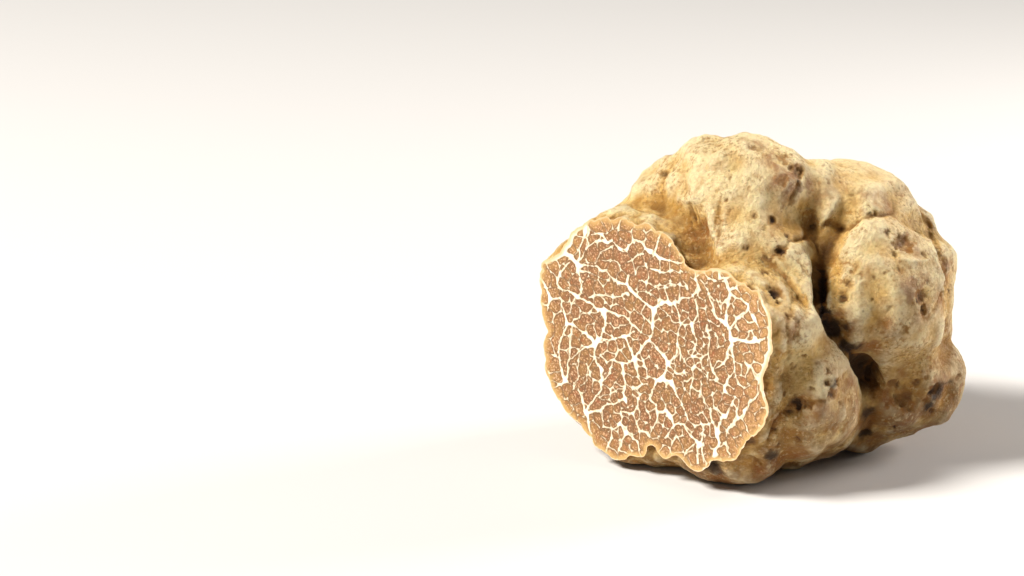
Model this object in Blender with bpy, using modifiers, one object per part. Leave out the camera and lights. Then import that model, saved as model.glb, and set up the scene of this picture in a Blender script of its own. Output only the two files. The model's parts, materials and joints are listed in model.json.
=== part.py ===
"""A white truffle that has been sliced once: one solid, lobed all round, with a flat cut face."""

import math

import bmesh
import bpy
from mathutils import Matrix, Vector
from mathutils.bvhtree import BVHTree
from mathutils.kdtree import KDTree

MM = 0.001

# The slice: a plane through CUT_POINT, facing the way CUT_TURN and CUT_TILT say.
CUT_POINT = (-17.5, -7.5, 25.5)
CUT_TURN = 38.0
CUT_TILT = 3.0

VOXEL = 0.7
SEAM_SMOOTHING = 10
LUMP_SIZE = 9.0
LUMP_HEIGHT = 1.2
TRIANGLES = 9600

SKIN_COLOUR = (0.62, 0.48, 0.28, 1)
SKIN_ROUGHNESS = 0.6

# Each lobe: middle (x, y, z), radii (across, deep, high), then its lean and its turn.
LOBES = {
    "core": ((4, 12, 28), (22, 20, 22), (0, 0)),
    "sliced_heart": ((-10, 1, 25), (20, 15, 17), (0, -38)),
    "sliced_top": ((-17.5, 3.6, 35.8), (17.5, 18, 11.7), (0, -38)),
    "shelf_ridge": ((-18.6, 2.3, 43.4), (11.0, 5.4, 4.8), (4, -38)),
    "sliced_left": ((-25.3, 8.2, 30.5), (13.2, 16, 12.5), (0, -38)),
    "sliced_low_left": ((-24, 7.2, 17.0), (13.4, 16, 12.5), (0, -38)),
    "sliced_bottom": ((-19.8, 3.8, 12.4), (12.0, 16, 12.2), (0, -38)),
    "sliced_chin": ((-10.7, -4.5, 9.5), (3.8, 13, 5.6), (0, -38)),
    "sliced_jowl": ((-5.7, -9.1, 9.8), (6.2, 13, 7.0), (0, -38)),
    "sliced_right": ((-0.2, -8.0, 19.4), (14.7, 19, 15.6), (0, -38)),
    "sliced_top_right": ((-0.6, -9.3, 29.6), (14.8, 17, 12.4), (0, -38)),
    "flank": ((8.0, -6.5, 18.4), (11.6, 15, 15.0), (-14, 0)),
    "flank_low": ((12.0, -1.5, 11.6), (8.2, 9, 9.6), (0, 0)),
    "shoulder_far_left": ((-19.0, 12, 41.8), (6.5, 9, 7.5), (0, 0)),
    "shoulder_left": ((-14.0, 13, 42.8), (10.8, 12, 10.5), (0, 0)),
    "crown_step": ((-14.0, 12, 50.0), (5.2, 8, 5.2), (0, 0)),
    "crown_left": ((-8.0, 7, 48.7), (9.0, 12, 10.9), (0, 0)),
    "crown": ((-0.8, 4, 48.0), (11.2, 13, 13.0), (0, 0)),
    "crown_front": ((-2.5, -1, 42.0), (10.5, 11, 11), (0, 0)),
    "brow": ((5.0, 2, 52.5), (5.8, 8, 6.3), (0, 0)),
    "brow_side": ((4.4, 1.0, 51.6), (5.0, 7.5, 6.4), (0, 0)),
    "saddle": ((4.0, -5.0, 37.0), (11.0, 9.5, 9.5), (30, 0)),
    "shoulder_right": ((18.2, 9, 42.6), (12.7, 14, 11.5), (27, 0)),
    "shoulder_right_tongue": ((12.0, 6.0, 46.2), (6.0, 9, 9.8), (0, 0)),
    "tongue_left": ((9.8, 2.7, 48.5), (3.8, 6, 6.5), (0, 0)),
    "tongue_low": ((13.3, 3.6, 42.5), (4.6, 8.5, 8.0), (0, 0)),
    "tongue_tip": ((13.2, 0.9, 44.8), (3.2, 5.6, 6.8), (8, 0)),
    "cheek": ((23.0, 4, 31.8), (12.2, 14.5, 15.5), (-14, 0)),
    "cheek_front": ((17.8, -3.2, 31.6), (5.6, 9, 9), (0, 0)),
    "cheek_top_left": ((17.8, -1.7, 39.8), (5.2, 6, 5.8), (0, 0)),
    "cheek_top": ((20.6, -0.4, 42.4), (5.0, 6, 5.0), (0, 0)),
    "cheek_right": ((27.2, 12, 31.6), (10.6, 14.5, 13.9), (3, 0)),
    "cheek_edge": ((29.6, 12, 24.4), (7.9, 11, 7.5), (0, 0)),
    "haunch": ((24.0, 9, 15.5), (12.5, 13, 13.5), (0, 0)),
    "haunch_low": ((20.5, 12, 9.5), (11, 11, 9.5), (0, 0)),
    "haunch_toe": ((17.8, 7, 5.5), (7, 6.5, 5.8), (0, 0)),
    "heel": ((32.7, 12, 13.0), (7.0, 8.8, 9.4), (0, 0)),
    "back_broad": ((5, 24, 30), (18, 15.5, 19), (18, 0)),
    "back_top": ((-2, 19, 45), (13, 12, 9.5), (-12, 0)),
    "back_left": ((-15, 19, 34), (13, 13, 12.5), (14, 0)),
    "back_left_low": ((-15, 18, 15), (13, 14.5, 15.2), (-8, 20)),
    "back_right": ((21, 21, 37), (11, 12, 11), (0, 0)),
    "back_right_low": ((17, 25, 14.5), (13.5, 12, 14.6), (-20, 0)),
    "back_knob": ((-2, 30, 13.5), (10.5, 9.5, 10), (15, 0)),
    "back_button": ((11, 36, 26.5), (6.5, 5.5, 6), (0, 0)),
    "foot_mid": ((7, -1, 9), (8, 8, 9.3), (0, 0)),
    "foot": ((0, 7, 11), (18, 17, 12.5), (0, 0)),
    "foot_front": ((-4, -8, 8.5), (12, 9.5, 9.3), (0, -38)),
    "foot_toe": ((-12.6, -0.5, 5.0), (6, 6, 5.8), (0, -38)),
    "foot_left": ((-15.8, 1.6, 8.0), (10.5, 10, 8.8), (0, 0)),
}

# Valleys pressed into the skin. They are laid on it along straight sight lines from SIGHT_REACH away:
# seen from (turn, height) degrees about SIGHT_MIDDLE, each point is (right, up). Then width and depth.
SIGHT_MIDDLE = (0, 0, 30)
SIGHT_REACH = 512.0
FRONT = (0, 16)
RIGHT = (90, 10)
BACK = (180, 10)
LEFT = (270, 10)
VALLEYS = {
    "cleft_slit": (FRONT, 2.6, 1.0, [(10.1, 17.4), (10.9, 14.2), (11.5, 11.0), (12.0, 7.6)]),
    "cleft_start": (FRONT, 3.0, 1.2, [(19.0, 22.0), (18.4, 18.6), (16.4, 15.2), (14.6, 12.2), (13.2, 9.6)]),
    "cleft": (FRONT, 2.5, 4.2, [(13.3, 9.4), (12.9, 7.4), (12.7, 4.4), (12.9, 0.0), (14.5, -3.5)]),
    "cleft_low": (FRONT, 2.6, 2.4, [(14.4, -3.5), (17.3, -8.0), (19.8, -12.0), (22.0, -15.6)]),
    "shoulder_fold": (FRONT, 3.6, 0.9, [(27.6, 21.0), (25.0, 19.4), (21.6, 17.5)]),
    "fissure": (FRONT, 1.8, 0.4, [(18.5, 6.8), (17.3, 4.2), (16.2, 1.5)]),
    "heel_valley": (FRONT, 2.8, 1.2, [(35.6, -5.2), (34.6, -8.0), (34.4, -10.8)]),
    "haunch_hollow": (FRONT, 4.6, 1.6, [(27.4, -13.0), (27.9, -16.6), (29.4, -18.6)]),
    "shelf_hollow": (FRONT, 4.0, 2.8, [(-10.8, 15.6), (-10.0, 12.4), (-9.6, 8.8)]),
    "shelf_crease": (FRONT, 3.0, 1.0, [(-24.2, 19.6), (-20.2, 19.4), (-15.7, 18.0), (-12.2, 15.4)]),
    "crown_left_dip": (FRONT, 5.0, 1.0, [(-13.6, 28.0), (-12.6, 23.5), (-13.0, 19.0)]),
    "crown_dip": (FRONT, 5.4, 0.5, [(-4.8, 30.8), (-5.4, 26.2), (-6.5, 20.8), (-7.2, 18.0)]),
    "rim_fold": (FRONT, 2.4, 0.8, [(31.7, 15.6), (33.1, 10.9), (34.2, 6.4), (34.4, 1.5)]),
    "drape": (FRONT, 3.0, 1.1, [(0.2, 9.6), (4.2, 7.8), (7.2, 4.6), (9.7, 0.6), (10.9, -2.6)]),
    "flank_dip": (FRONT, 4.6, 1.3, [(7.4, -10.6), (8.1, -17.5), (7.0, -22.0)]),
    "right_fold": (RIGHT, 4.6, 1.8, [(2.0, 13.0), (8.0, 7.0), (16.0, 4.0), (24.0, 5.5)]),
    "right_dip": (RIGHT, 5.0, 1.4, [(9.0, -4.0), (13.5, -10.0), (13.0, -19.0)]),
    "back_cleft": (BACK, 4.6, 2.4, [(-23.0, 17.0), (-13.0, 9.0), (-4.0, 5.0), (6.0, -2.0), (12.0, -11.0)]),
    "back_fold": (BACK, 4.0, 1.5, [(1.0, 24.0), (4.0, 14.0), (3.0, 6.0)]),
    "back_dip": (BACK, 5.0, 1.6, [(-20.0, -6.0), (-14.0, -12.0), (-15.0, -22.0)]),
    "left_fold": (LEFT, 5.0, 1.5, [(-27.0, 3.0), (-20.0, -3.0), (-15.5, -11.0), (-15.0, -20.0)]),
    "left_dip": (LEFT, 4.6, 1.5, [(-12.0, 20.0), (-17.0, 12.0), (-26.0, 11.0)]),
}


def clear_scene():
    for obj in list(bpy.data.objects):
        bpy.data.objects.remove(obj, do_unlink=True)


def new_collection(name):
    group = bpy.data.collections.new(name)
    bpy.context.scene.collection.children.link(group)
    return group


def cut_normal():
    turn = math.radians(CUT_TURN)
    tilt = math.radians(CUT_TILT)
    return Vector((
        -math.sin(turn) * math.cos(tilt),
        -math.cos(turn) * math.cos(tilt),
        math.sin(tilt),
    ))


def lobed_mass():
    """All the lobes in one mesh, still passing through one another."""
    bm = bmesh.new()
    for middle, radii, (lean, turn) in LOBES.values():
        place = (
            Matrix.Translation(Vector(middle) * MM)
            @ Matrix.Rotation(math.radians(turn), 4, "Z")
            @ Matrix.Rotation(math.radians(lean), 4, "Y")
            @ Matrix.Diagonal((*(Vector(radii) * MM), 1.0))
        )
        bmesh.ops.create_icosphere(bm, subdivisions=4, radius=1.0, matrix=place)
    mesh = bpy.data.meshes.new("white_truffle")
    bm.to_mesh(mesh)
    bm.free()
    return bpy.data.objects.new("white_truffle", mesh)


def box_cutter(name, matrix, side):
    bm = bmesh.new()
    bmesh.ops.create_cube(bm, size=side, matrix=Matrix.Translation((0, 0, side / 2)))
    mesh = bpy.data.meshes.new(name)
    bm.to_mesh(mesh)
    bm.free()
    cutter = bpy.data.objects.new(name, mesh)
    cutter.matrix_world = matrix
    cutter.hide_render = True
    cutter.display_type = "WIRE"
    return cutter


def skin_material():
    material = bpy.data.materials.new("truffle_skin")
    material.use_nodes = True
    shader = material.node_tree.nodes["Principled BSDF"]
    shader.inputs["Base Color"].default_value = SKIN_COLOUR
    shader.inputs["Roughness"].default_value = SKIN_ROUGHNESS
    shader.inputs["Metallic"].default_value = 0.0
    return material


def freeze(obj):
    """Keep what the modifiers make and drop the modifiers."""
    graph = bpy.context.evaluated_depsgraph_get()
    mesh = bpy.data.meshes.new_from_object(obj.evaluated_get(graph))
    old = obj.data
    obj.modifiers.clear()
    obj.data = mesh
    bpy.data.meshes.remove(old)
    mesh.name = obj.name


def fuse(obj):
    remesh = obj.modifiers.new("fuse", "REMESH")
    remesh.mode = "VOXEL"
    remesh.voxel_size = VOXEL * MM
    smooth = obj.modifiers.new("seams", "SMOOTH")
    smooth.factor = 0.5
    smooth.iterations = SEAM_SMOOTHING
    lumps = bpy.data.textures.new("lumps", "CLOUDS")
    lumps.noise_scale = LUMP_SIZE * MM
    lumps.noise_depth = 1
    push = obj.modifiers.new("lumps", "DISPLACE")
    push.texture = lumps
    push.texture_coords = "LOCAL"
    push.strength = LUMP_HEIGHT * MM * 2
    push.mid_level = 0.5
    freeze(obj)


def resampled(points, step):
    """A smooth run of points through the given ones."""
    points = [Vector(p) for p in points]
    ends = [2 * points[0] - points[1]] + points + [2 * points[-1] - points[-2]]
    run = []
    for a, b, c, d in zip(ends, ends[1:], ends[2:], ends[3:]):
        count = max(2, int((c - b).length / step))
        for k in range(count):
            t = k / count
            run.append(0.5 * (2 * b + (c - a) * t + (2 * a - 5 * b + 4 * c - d) * t * t
                              + (3 * b - a - 3 * c + d) * t * t * t))
    run.append(points[-1])
    return run


def laid_on(tree, sight, points):
    """Where sight lines through the points first meet the skin."""
    turn, height = (math.radians(v) for v in sight)
    back = Vector((math.sin(turn) * math.cos(height), -math.cos(turn) * math.cos(height), math.sin(height)))
    right = Vector((math.cos(turn), math.sin(turn), 0))
    up = back.cross(right)
    middle = Vector(SIGHT_MIDDLE) * MM
    eye = middle + back * SIGHT_REACH * MM
    spots = []
    for across, rise in points:
        aim = middle + (right * across + up * rise) * MM
        hit = tree.ray_cast(eye, (aim - eye).normalized())[0]
        if hit is not None:
            spots.append(hit)
    return spots


def press_valleys(obj):
    """Push the skin inwards along each valley, deepest along its middle and fading at its ends."""
    bm = bmesh.new()
    bm.from_mesh(obj.data)
    bm.normal_update()
    skin = BVHTree.FromBMesh(bm)
    push = [Vector() for _ in bm.verts]
    for sight, width, depth, points in VALLEYS.values():
        spots = laid_on(skin, sight, resampled(points, 0.5))
        line = KDTree(len(spots))
        for i, spot in enumerate(spots):
            line.insert(spot, i)
        line.balance()
        for vert in bm.verts:
            spot, i, away = line.find(vert.co)
            if away < width * MM:
                along = i / (len(spots) - 1)
                ends = min(1.0, 4.0 * min(along, 1.0 - along) + 0.35)
                push[vert.index] -= vert.normal * depth * MM * ends * (1 - (away / width / MM) ** 2) ** 2
    for vert in bm.verts:
        vert.co += push[vert.index]
    bm.to_mesh(obj.data)
    bm.free()


def main():
    clear_scene()
    body = new_collection("white_truffle")
    cutters = new_collection("cutters")

    truffle = lobed_mass()
    body.objects.link(truffle)
    fuse(truffle)
    press_valleys(truffle)

    fewer = truffle.modifiers.new("fewer", "DECIMATE")
    fewer.ratio = TRIANGLES / (2 * len(truffle.data.polygons))
    freeze(truffle)

    slice_axis = cut_normal().to_track_quat("Z", "Y").to_matrix().to_4x4()
    knife = box_cutter("knife", Matrix.Translation(Vector(CUT_POINT) * MM) @ slice_axis, 0.2)
    table = box_cutter("table", Matrix.Rotation(math.pi, 4, "X"), 0.2)
    for cutter in (knife, table):
        cutters.objects.link(cutter)
        cut = truffle.modifiers.new(cutter.name, "BOOLEAN")
        cut.operation = "DIFFERENCE"
        cut.solver = "EXACT"
        cut.object = cutter
    freeze(truffle)

    sides = [[vert.co[axis] for vert in truffle.data.vertices] for axis in (0, 1)]
    middle = [(min(side) + max(side)) / 2 for side in sides]
    truffle.data.transform(Matrix.Translation((-middle[0], -middle[1], 0)))
    truffle.data.materials.clear()
    truffle.data.materials.append(skin_material())
    print("moved by", [round(-value / MM, 3) for value in middle])


main()
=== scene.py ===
import json
import math

import bmesh
import bpy
import numpy as np
from mathutils import Euler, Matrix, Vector, noise
from mathutils.bvhtree import BVHTree
from mathutils.geometry import delaunay_2d_cdt


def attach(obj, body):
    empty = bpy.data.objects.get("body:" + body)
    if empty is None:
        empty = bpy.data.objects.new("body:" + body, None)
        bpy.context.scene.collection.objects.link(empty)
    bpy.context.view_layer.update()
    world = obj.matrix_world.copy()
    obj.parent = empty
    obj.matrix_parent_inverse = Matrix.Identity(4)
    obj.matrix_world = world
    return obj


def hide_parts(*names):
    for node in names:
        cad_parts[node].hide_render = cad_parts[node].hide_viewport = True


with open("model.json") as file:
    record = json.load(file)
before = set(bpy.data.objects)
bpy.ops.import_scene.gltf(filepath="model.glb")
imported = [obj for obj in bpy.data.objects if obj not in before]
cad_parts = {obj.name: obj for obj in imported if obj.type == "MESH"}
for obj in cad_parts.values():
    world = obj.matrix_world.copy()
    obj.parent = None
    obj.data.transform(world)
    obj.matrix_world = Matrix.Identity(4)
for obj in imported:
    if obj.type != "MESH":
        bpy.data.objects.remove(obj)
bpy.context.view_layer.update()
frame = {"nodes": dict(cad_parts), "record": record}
MM = 0.001


# ---------------------------------------------------------------------------------------------
# The truffle. One firm lump of fungus that swelled between stones and roots, lobed and folded,
# in a thin pale skin. A knife has taken a slab off its front left. It starts as the CAD solid,
# run on a little past the cut so that the knife goes through finished skin later.

CUT = {mount["name"]: mount for mount in frame["record"]["mounts"]}["cut_face"]
CUT_MIDDLE = Vector(CUT["pos_m"])
CUT_AXIS = Vector(CUT["axis"]).normalized()
PAST_THE_CUT = 3.0 * MM
WELD = 0.001 * MM
ON_CUT = 0.01 * MM
SAME_WAY = 0.9999
SKIN_GRAIN = 0.40 * MM
FACET_SMOOTHING = 10

skin = bpy.data.materials.new("truffle_skin")
flesh = bpy.data.materials.new("truffle_flesh")


def frozen(piece):
    """Keep what the modifiers make as a plain mesh, and drop the modifiers."""
    graph = bpy.context.evaluated_depsgraph_get()
    mesh = bpy.data.meshes.new_from_object(piece.evaluated_get(graph))
    piece.modifiers.clear()
    piece.data = mesh


def new_object(name, data):
    made = bpy.data.objects.new(name, data)
    bpy.context.scene.collection.objects.link(made)
    return made


def lump_past_the_cut():
    bm = bmesh.new()
    bm.from_mesh(frame["nodes"]["white_truffle"].data)
    bmesh.ops.remove_doubles(bm, verts=bm.verts, dist=WELD)
    bm.normal_update()
    on_cut = [
        face for face in bm.faces
        if face.normal.dot(CUT_AXIS) > SAME_WAY
        and abs((face.calc_center_median() - CUT_MIDDLE).dot(CUT_AXIS)) < ON_CUT
    ]
    run_on = bmesh.ops.extrude_face_region(bm, geom=on_cut)["geom"]
    moved = [part for part in run_on if isinstance(part, bmesh.types.BMVert)]
    bmesh.ops.translate(bm, verts=moved, vec=CUT_AXIS * PAST_THE_CUT)
    bmesh.ops.delete(bm, geom=on_cut, context="FACES")
    mesh = bpy.data.meshes.new("truffle")
    bm.to_mesh(mesh)
    bm.free()
    return new_object("truffle", mesh)


truffle = lump_past_the_cut()

even = truffle.modifiers.new("even_skin", "REMESH")
even.mode = "VOXEL"
even.voxel_size = SKIN_GRAIN
even.use_smooth_shade = True
soften = truffle.modifiers.new("no_facets", "SMOOTH")
soften.factor = 0.5
soften.iterations = FACET_SMOOTHING

# Low swellings over the lobes: size across, height, and the share of it that stands proud.
for name, across, height, proud in (("swells", 7.0, 0.9, 0.5), ("bumps", 2.6, 0.22, 0.45)):
    clouds = bpy.data.textures.new(name, "CLOUDS")
    clouds.noise_scale = across * MM
    clouds.noise_depth = 1
    swell = truffle.modifiers.new(name, "DISPLACE")
    swell.texture = clouds
    swell.texture_coords = "LOCAL"
    swell.strength = height * MM
    swell.mid_level = 1 - proud
frozen(truffle)


# Folds and spots are placed from straight in front of one side or another. Points are
# (right, up) of the truffle's middle, in mm, and are laid where that line of sight meets skin.

SIGHT_MIDDLE = Vector((-0.27, -8.41, 30.0)) * MM
SIGHT_REACH = 512.0 * MM
SIGHT_HEIGHT = math.radians(16)


def sight(turn):
    """Directions right, up and back for an eye that has walked round by so many degrees."""
    turn = math.radians(turn)
    level = math.cos(SIGHT_HEIGHT)
    back = Vector((math.sin(turn) * level, -math.cos(turn) * level, math.sin(SIGHT_HEIGHT)))
    right = Vector((math.cos(turn), math.sin(turn), 0))
    return right, back.cross(right), back


def skin_as_it_is():
    return BVHTree.FromObject(truffle, bpy.context.evaluated_depsgraph_get())


def laid_on_skin(tree, points, turn):
    right, up, back = sight(turn)
    eye = SIGHT_MIDDLE + back * SIGHT_REACH
    spots = []
    for across, rise in points:
        aim = SIGHT_MIDDLE + (right * across + up * rise) * MM
        hit = tree.ray_cast(eye, (aim - eye).normalized())[0]
        if hit is not None:
            spots.append(hit)
    return spots


def smooth_run(points, step):
    """Points at a nearly even step along a smooth curve through the given ones."""
    ends = [2 * points[0] - points[1], *points, 2 * points[-1] - points[-2]]
    run = []
    for a, b, c, d in zip(ends, ends[1:], ends[2:], ends[3:]):
        count = max(2, int((c - b).length / step))
        for k in range(count):
            t = k / count
            run.append(0.5 * (2 * b + (c - a) * t + (2 * a - 5 * b + 4 * c - d) * t * t
                              + (3 * b - a - 3 * c + d) * t ** 3))
    return run + [points[-1]]


# Each fold: half width and depth in mm (below 0 is a raised ridge), then its points.
FRONT_FOLDS = [
    # the long crevice between saddle and haunch, and the fissure that feeds it
    (1.7, 1.2, [(13.2, 9.8), (12.6, 7.4), (12.4, 2.8), (12.8, -1.2), (14.4, -4.1), (16.7, -7.1)]),
    (1.5, 1.0, [(15.4, -5.6), (18.3, -9.4), (20.9, -13.4), (21.6, -17.0)]),
    (0.5, 0.5, [(17.2, 15.6), (15.9, 14.0), (14.9, 12.2), (14.0, 10.6), (13.1, 9.2)]),
    (0.5, 0.45, [(9.4, 24.6), (8.6, 22.0), (7.6, 19.6), (6.6, 17.6)]),
    (0.5, 0.45, [(10.1, 17.6), (10.9, 14.5), (11.6, 11.4), (12.2, 8.2)]),
    # the bay where brow, crown and saddle meet
    (0.45, 0.45, [(-11.4, 18.4), (-10.9, 16.8), (-10.2, 15.0), (-9.2, 13.2)]),
    (0.4, 0.4, [(-10.6, 18.0), (-9.9, 16.2), (-9.2, 14.4), (-8.5, 12.6)]),
    (0.35, 0.3, [(-11.6, 16.4), (-10.8, 14.4), (-10.0, 12.4), (-9.6, 10.6)]),
    (0.5, 0.4, [(-6.0, 19.0), (-6.3, 16.6), (-6.6, 14.4), (-7.2, 12.6)]),
    (1.2, 0.5, [(-6.0, 16.6), (-5.8, 13.6), (-6.2, 11.4)]),
    # drapes over the right of the saddle
    (0.7, 0.4, [(0.5, 9.1), (3.6, 7.3), (6.5, 4.6), (8.6, 1.4), (10.8, -1.7)]),
    (0.6, 0.35, [(8.2, 9.6), (9.6, 6.0), (10.9, 2.4), (11.6, -0.6)]),
    (0.6, -0.3, [(1.6, 9.4), (5.0, 7.4), (7.8, 4.6), (9.8, 1.4)]),
    # haunch
    (0.35, 0.25, [(19.1, 8.2), (18.4, 6.6), (17.6, 4.8)]),
    (0.5, 0.4, [(20.2, 18.6), (21.6, 17.0), (22.8, 15.8)]),
    (0.5, 0.3, [(19.8, -10.7), (21.4, -12.8), (23.0, -15.4)]),
    (0.5, 0.3, [(21.2, -10.4), (22.6, -12.4), (24.0, -14.8)]),
    (1.4, 0.7, [(21.8, -18.8), (21.0, -22.2), (19.6, -25.0)]),
    (0.7, 0.4, [(25.2, -16.0), (27.2, -17.2), (28.8, -19.4)]),
    # lobed right rim: long low ridges with grooves beside them
    (0.7, -0.35, [(27.6, 18.9), (30.4, 15.4), (32.0, 11.0), (33.4, 6.0), (34.8, 2.4)]),
    (0.6, 0.35, [(28.9, 18.2), (31.4, 14.6), (33.4, 9.8), (34.6, 5.6)]),
    (0.5, -0.3, [(25.0, 9.4), (27.2, 8.2), (30.4, 8.0), (32.4, 9.0)]),
    (0.5, -0.3, [(32.0, 7.4), (33.6, 3.6), (34.8, -1.4), (34.2, -6.0)]),
    # shelf behind the cut's upper rim
    (0.5, 0.4, [(-25.2, 15.8), (-23.6, 16.6), (-22.4, 16.8)]),
    (0.5, 0.5, [(-22.6, 15.6), (-22.0, 14.8), (-22.2, 13.8)]),
    (0.5, 0.25, [(-20.6, 16.4), (-18.0, 16.9), (-15.0, 16.2)]),
    # flank under the cut's right rim
    (0.7, 0.3, [(7.6, 2.4), (6.4, -2.8), (6.9, -7.4), (7.4, -12.0)]),
    (0.7, 0.5, [(8.4, -16.8), (10.2, -17.4), (13.4, -17.2)]),
    (0.8, 0.6, [(7.9, -15.2), (7.4, -18.0), (5.0, -20.2), (3.6, -23.6), (2.8, -26.2)]),
    (0.6, 0.4, [(14.2, -27.6), (10.4, -27.0), (8.0, -25.6)]),
    (0.6, 0.4, [(-1.5, -27.0), (2.0, -28.6), (6.4, -29.6)]),
]
BACK_FOLDS = [
    (0.9, 0.7, [(-20, 6), (-14, 9), (-8, 8), (-3, 11)]),
    (0.6, 0.5, [(4, 20), (7, 15), (8, 9), (12, 4)]),
    (0.7, 0.5, [(-22, -8), (-16, -6), (-11, -9), (-5, -8)]),
    (0.5, 0.4, [(12, -10), (15, -4), (16, 1)]),
    (0.5, 0.4, [(-2, -14), (2, -9), (4, -4)]),
]
SIDE_FOLDS = [
    (0.8, 0.6, [(-14, 10), (-8, 12), (-2, 10), (3, 13)]),
    (0.6, 0.5, [(2, -4), (6, 1), (7, 7)]),
    (0.6, 0.4, [(-10, -10), (-5, -7), (0, -9)]),
]
# A fold is a run of points this far apart. It fades in and out over this share of its length,
# and its ends keep this share of its width.
FOLD_STEP = 0.6 * MM
FADE = 0.25
END_WIDTH = 0.45
guides = []


def guide(name, points, edges, **values):
    """Points that carry named values for a tree to read. They are removed at the end."""
    mesh = bpy.data.meshes.new(name)
    mesh.from_pydata(points, edges, [])
    for label, column in values.items():
        mesh.attributes.new(label, "FLOAT", "POINT").data.foreach_set("value", column)
    guides.append(new_object(name, mesh))
    return guides[-1]


def fold_lines(name, groups, narrowest, widest):
    """Loose edges laid on the skin, each point carrying its fold's width and depth."""
    tree = skin_as_it_is()
    points, edges, wide, deep = [], [], [], []
    for turn, folds in groups:
        for half_width, depth, marks in folds:
            if not narrowest <= half_width < widest:
                continue
            laid = laid_on_skin(tree, marks, turn)
            if len(laid) < 2:
                continue
            run = smooth_run(laid, FOLD_STEP)
            first = len(points)
            for k, point in enumerate(run):
                nearest = tree.find_nearest(point)[0]
                fade = min(1.0, min(k + 0.4, len(run) - 0.6 - k) / (FADE * len(run)))
                points.append(nearest)
                wide.append(half_width * MM * (END_WIDTH + (1 - END_WIDTH) * fade))
                deep.append(depth * MM * fade)
            edges += [(k, k + 1) for k in range(first, len(points) - 1)]
    return guide(name, points, edges, wide=wide, deep=deep)


# Geometry Nodes press the folds in. The same small helpers build every tree and material below.

def add(tree, kind, *feeds, **settings):
    """Put a node in a tree, set it up and feed its live inputs in order. Gives its outputs."""
    made = tree.nodes.new(kind)
    for name, value in settings.items():
        setattr(made, name, value)
    for socket, feed in zip([s for s in made.inputs if s.enabled], feeds):
        if isinstance(feed, bpy.types.NodeSocket):
            tree.links.new(feed, socket)
        elif feed is not None:
            socket.default_value = feed
    return [socket for socket in made.outputs if socket.enabled]


def calc(tree, sum_kind, *feeds, clamp=False):
    return add(tree, "ShaderNodeMath", *feeds, operation=sum_kind, use_clamp=clamp)[0]


def times(tree, first, *others):
    for other in others:
        first = calc(tree, "MULTIPLY", first, other)
    return first


def vec(tree, sum_kind, *feeds):
    return add(tree, "ShaderNodeVectorMath", *feeds, operation=sum_kind)[0]


def named(tree, label):
    return add(tree, "GeometryNodeInputNamedAttribute", label, data_type="FLOAT")[0]


def stored(tree, geometry, label, value):
    return add(tree, "GeometryNodeStoreNamedAttribute", geometry, None, label, value,
               data_type="FLOAT", domain="POINT")[0]


def sampled(tree, source, value, index, kind="FLOAT"):
    return add(tree, "GeometryNodeSampleIndex", source, value, index, data_type=kind,
               domain="POINT")[0]


def new_tree(name, inputs):
    """An empty tree for the skin. Gives it and its named input sockets."""
    tree = bpy.data.node_groups.new(name, "GeometryNodeTree")
    tree.interface.new_socket("Geometry", in_out="OUTPUT", socket_type="NodeSocketGeometry")
    tree.interface.new_socket("Geometry", in_out="INPUT", socket_type="NodeSocketGeometry")
    for label, kind in inputs.items():
        tree.interface.new_socket(label, in_out="INPUT", socket_type="NodeSocket" + kind)
    entry = tree.nodes.new("NodeGroupInput")
    return tree, {socket.name: socket for socket in entry.outputs}


def end_tree(tree, geometry, material):
    geometry = add(tree, "GeometryNodeRealizeInstances", geometry)[0]
    geometry = add(tree, "GeometryNodeSetMaterial", geometry, None, material)[0]
    tree.links.new(geometry, tree.nodes.new("NodeGroupOutput").inputs[0])


def run_tree(piece, tree, **values):
    """Run a tree over a piece with these inputs, and keep the result as its mesh."""
    step = piece.modifiers.new(tree.name, "NODES")
    step.node_group = tree
    for item in tree.interface.items_tree:
        if item.in_out == "INPUT" and item.name in values:
            step[item.identifier] = values[item.name]
    frozen(piece)


def ragged(tree, position, size, reach):
    """A position pushed about by noise of this size, by up to about half the reach."""
    cloud = add(tree, "ShaderNodeTexNoise", position, calc(tree, "DIVIDE", 1.0, size), 2.0)[1]
    push = vec(tree, "SCALE", vec(tree, "SUBTRACT", cloud, (0.5, 0.5, 0.5)), reach)
    return vec(tree, "ADD", position, push)


def bowl(tree, share):
    """1 at the middle falling smoothly to 0 where the share of the reach is 1."""
    share = calc(tree, "MINIMUM", share, 1.0)
    slope = calc(tree, "SUBTRACT", 1.0, times(tree, share, share))
    return times(tree, slope, slope)


def pushed_out(tree, geometry, height):
    normal = add(tree, "GeometryNodeInputNormal")[0]
    return add(tree, "GeometryNodeSetPosition", geometry, None, None,
               vec(tree, "SCALE", normal, height))[0]


def kept_largest(tree, geometry, label, value):
    """Store a value under a name where it tops what is there already."""
    return stored(tree, geometry, label, calc(tree, "MAXIMUM", named(tree, label), value))


# Noise that bends a fold, how sharp its slit is, and its valley's width in slit widths.
BEND_SIZE = 2.0 * MM
SLIT_SHARPNESS = 1.6
VALLEY_WIDTH = 2.6


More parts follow.
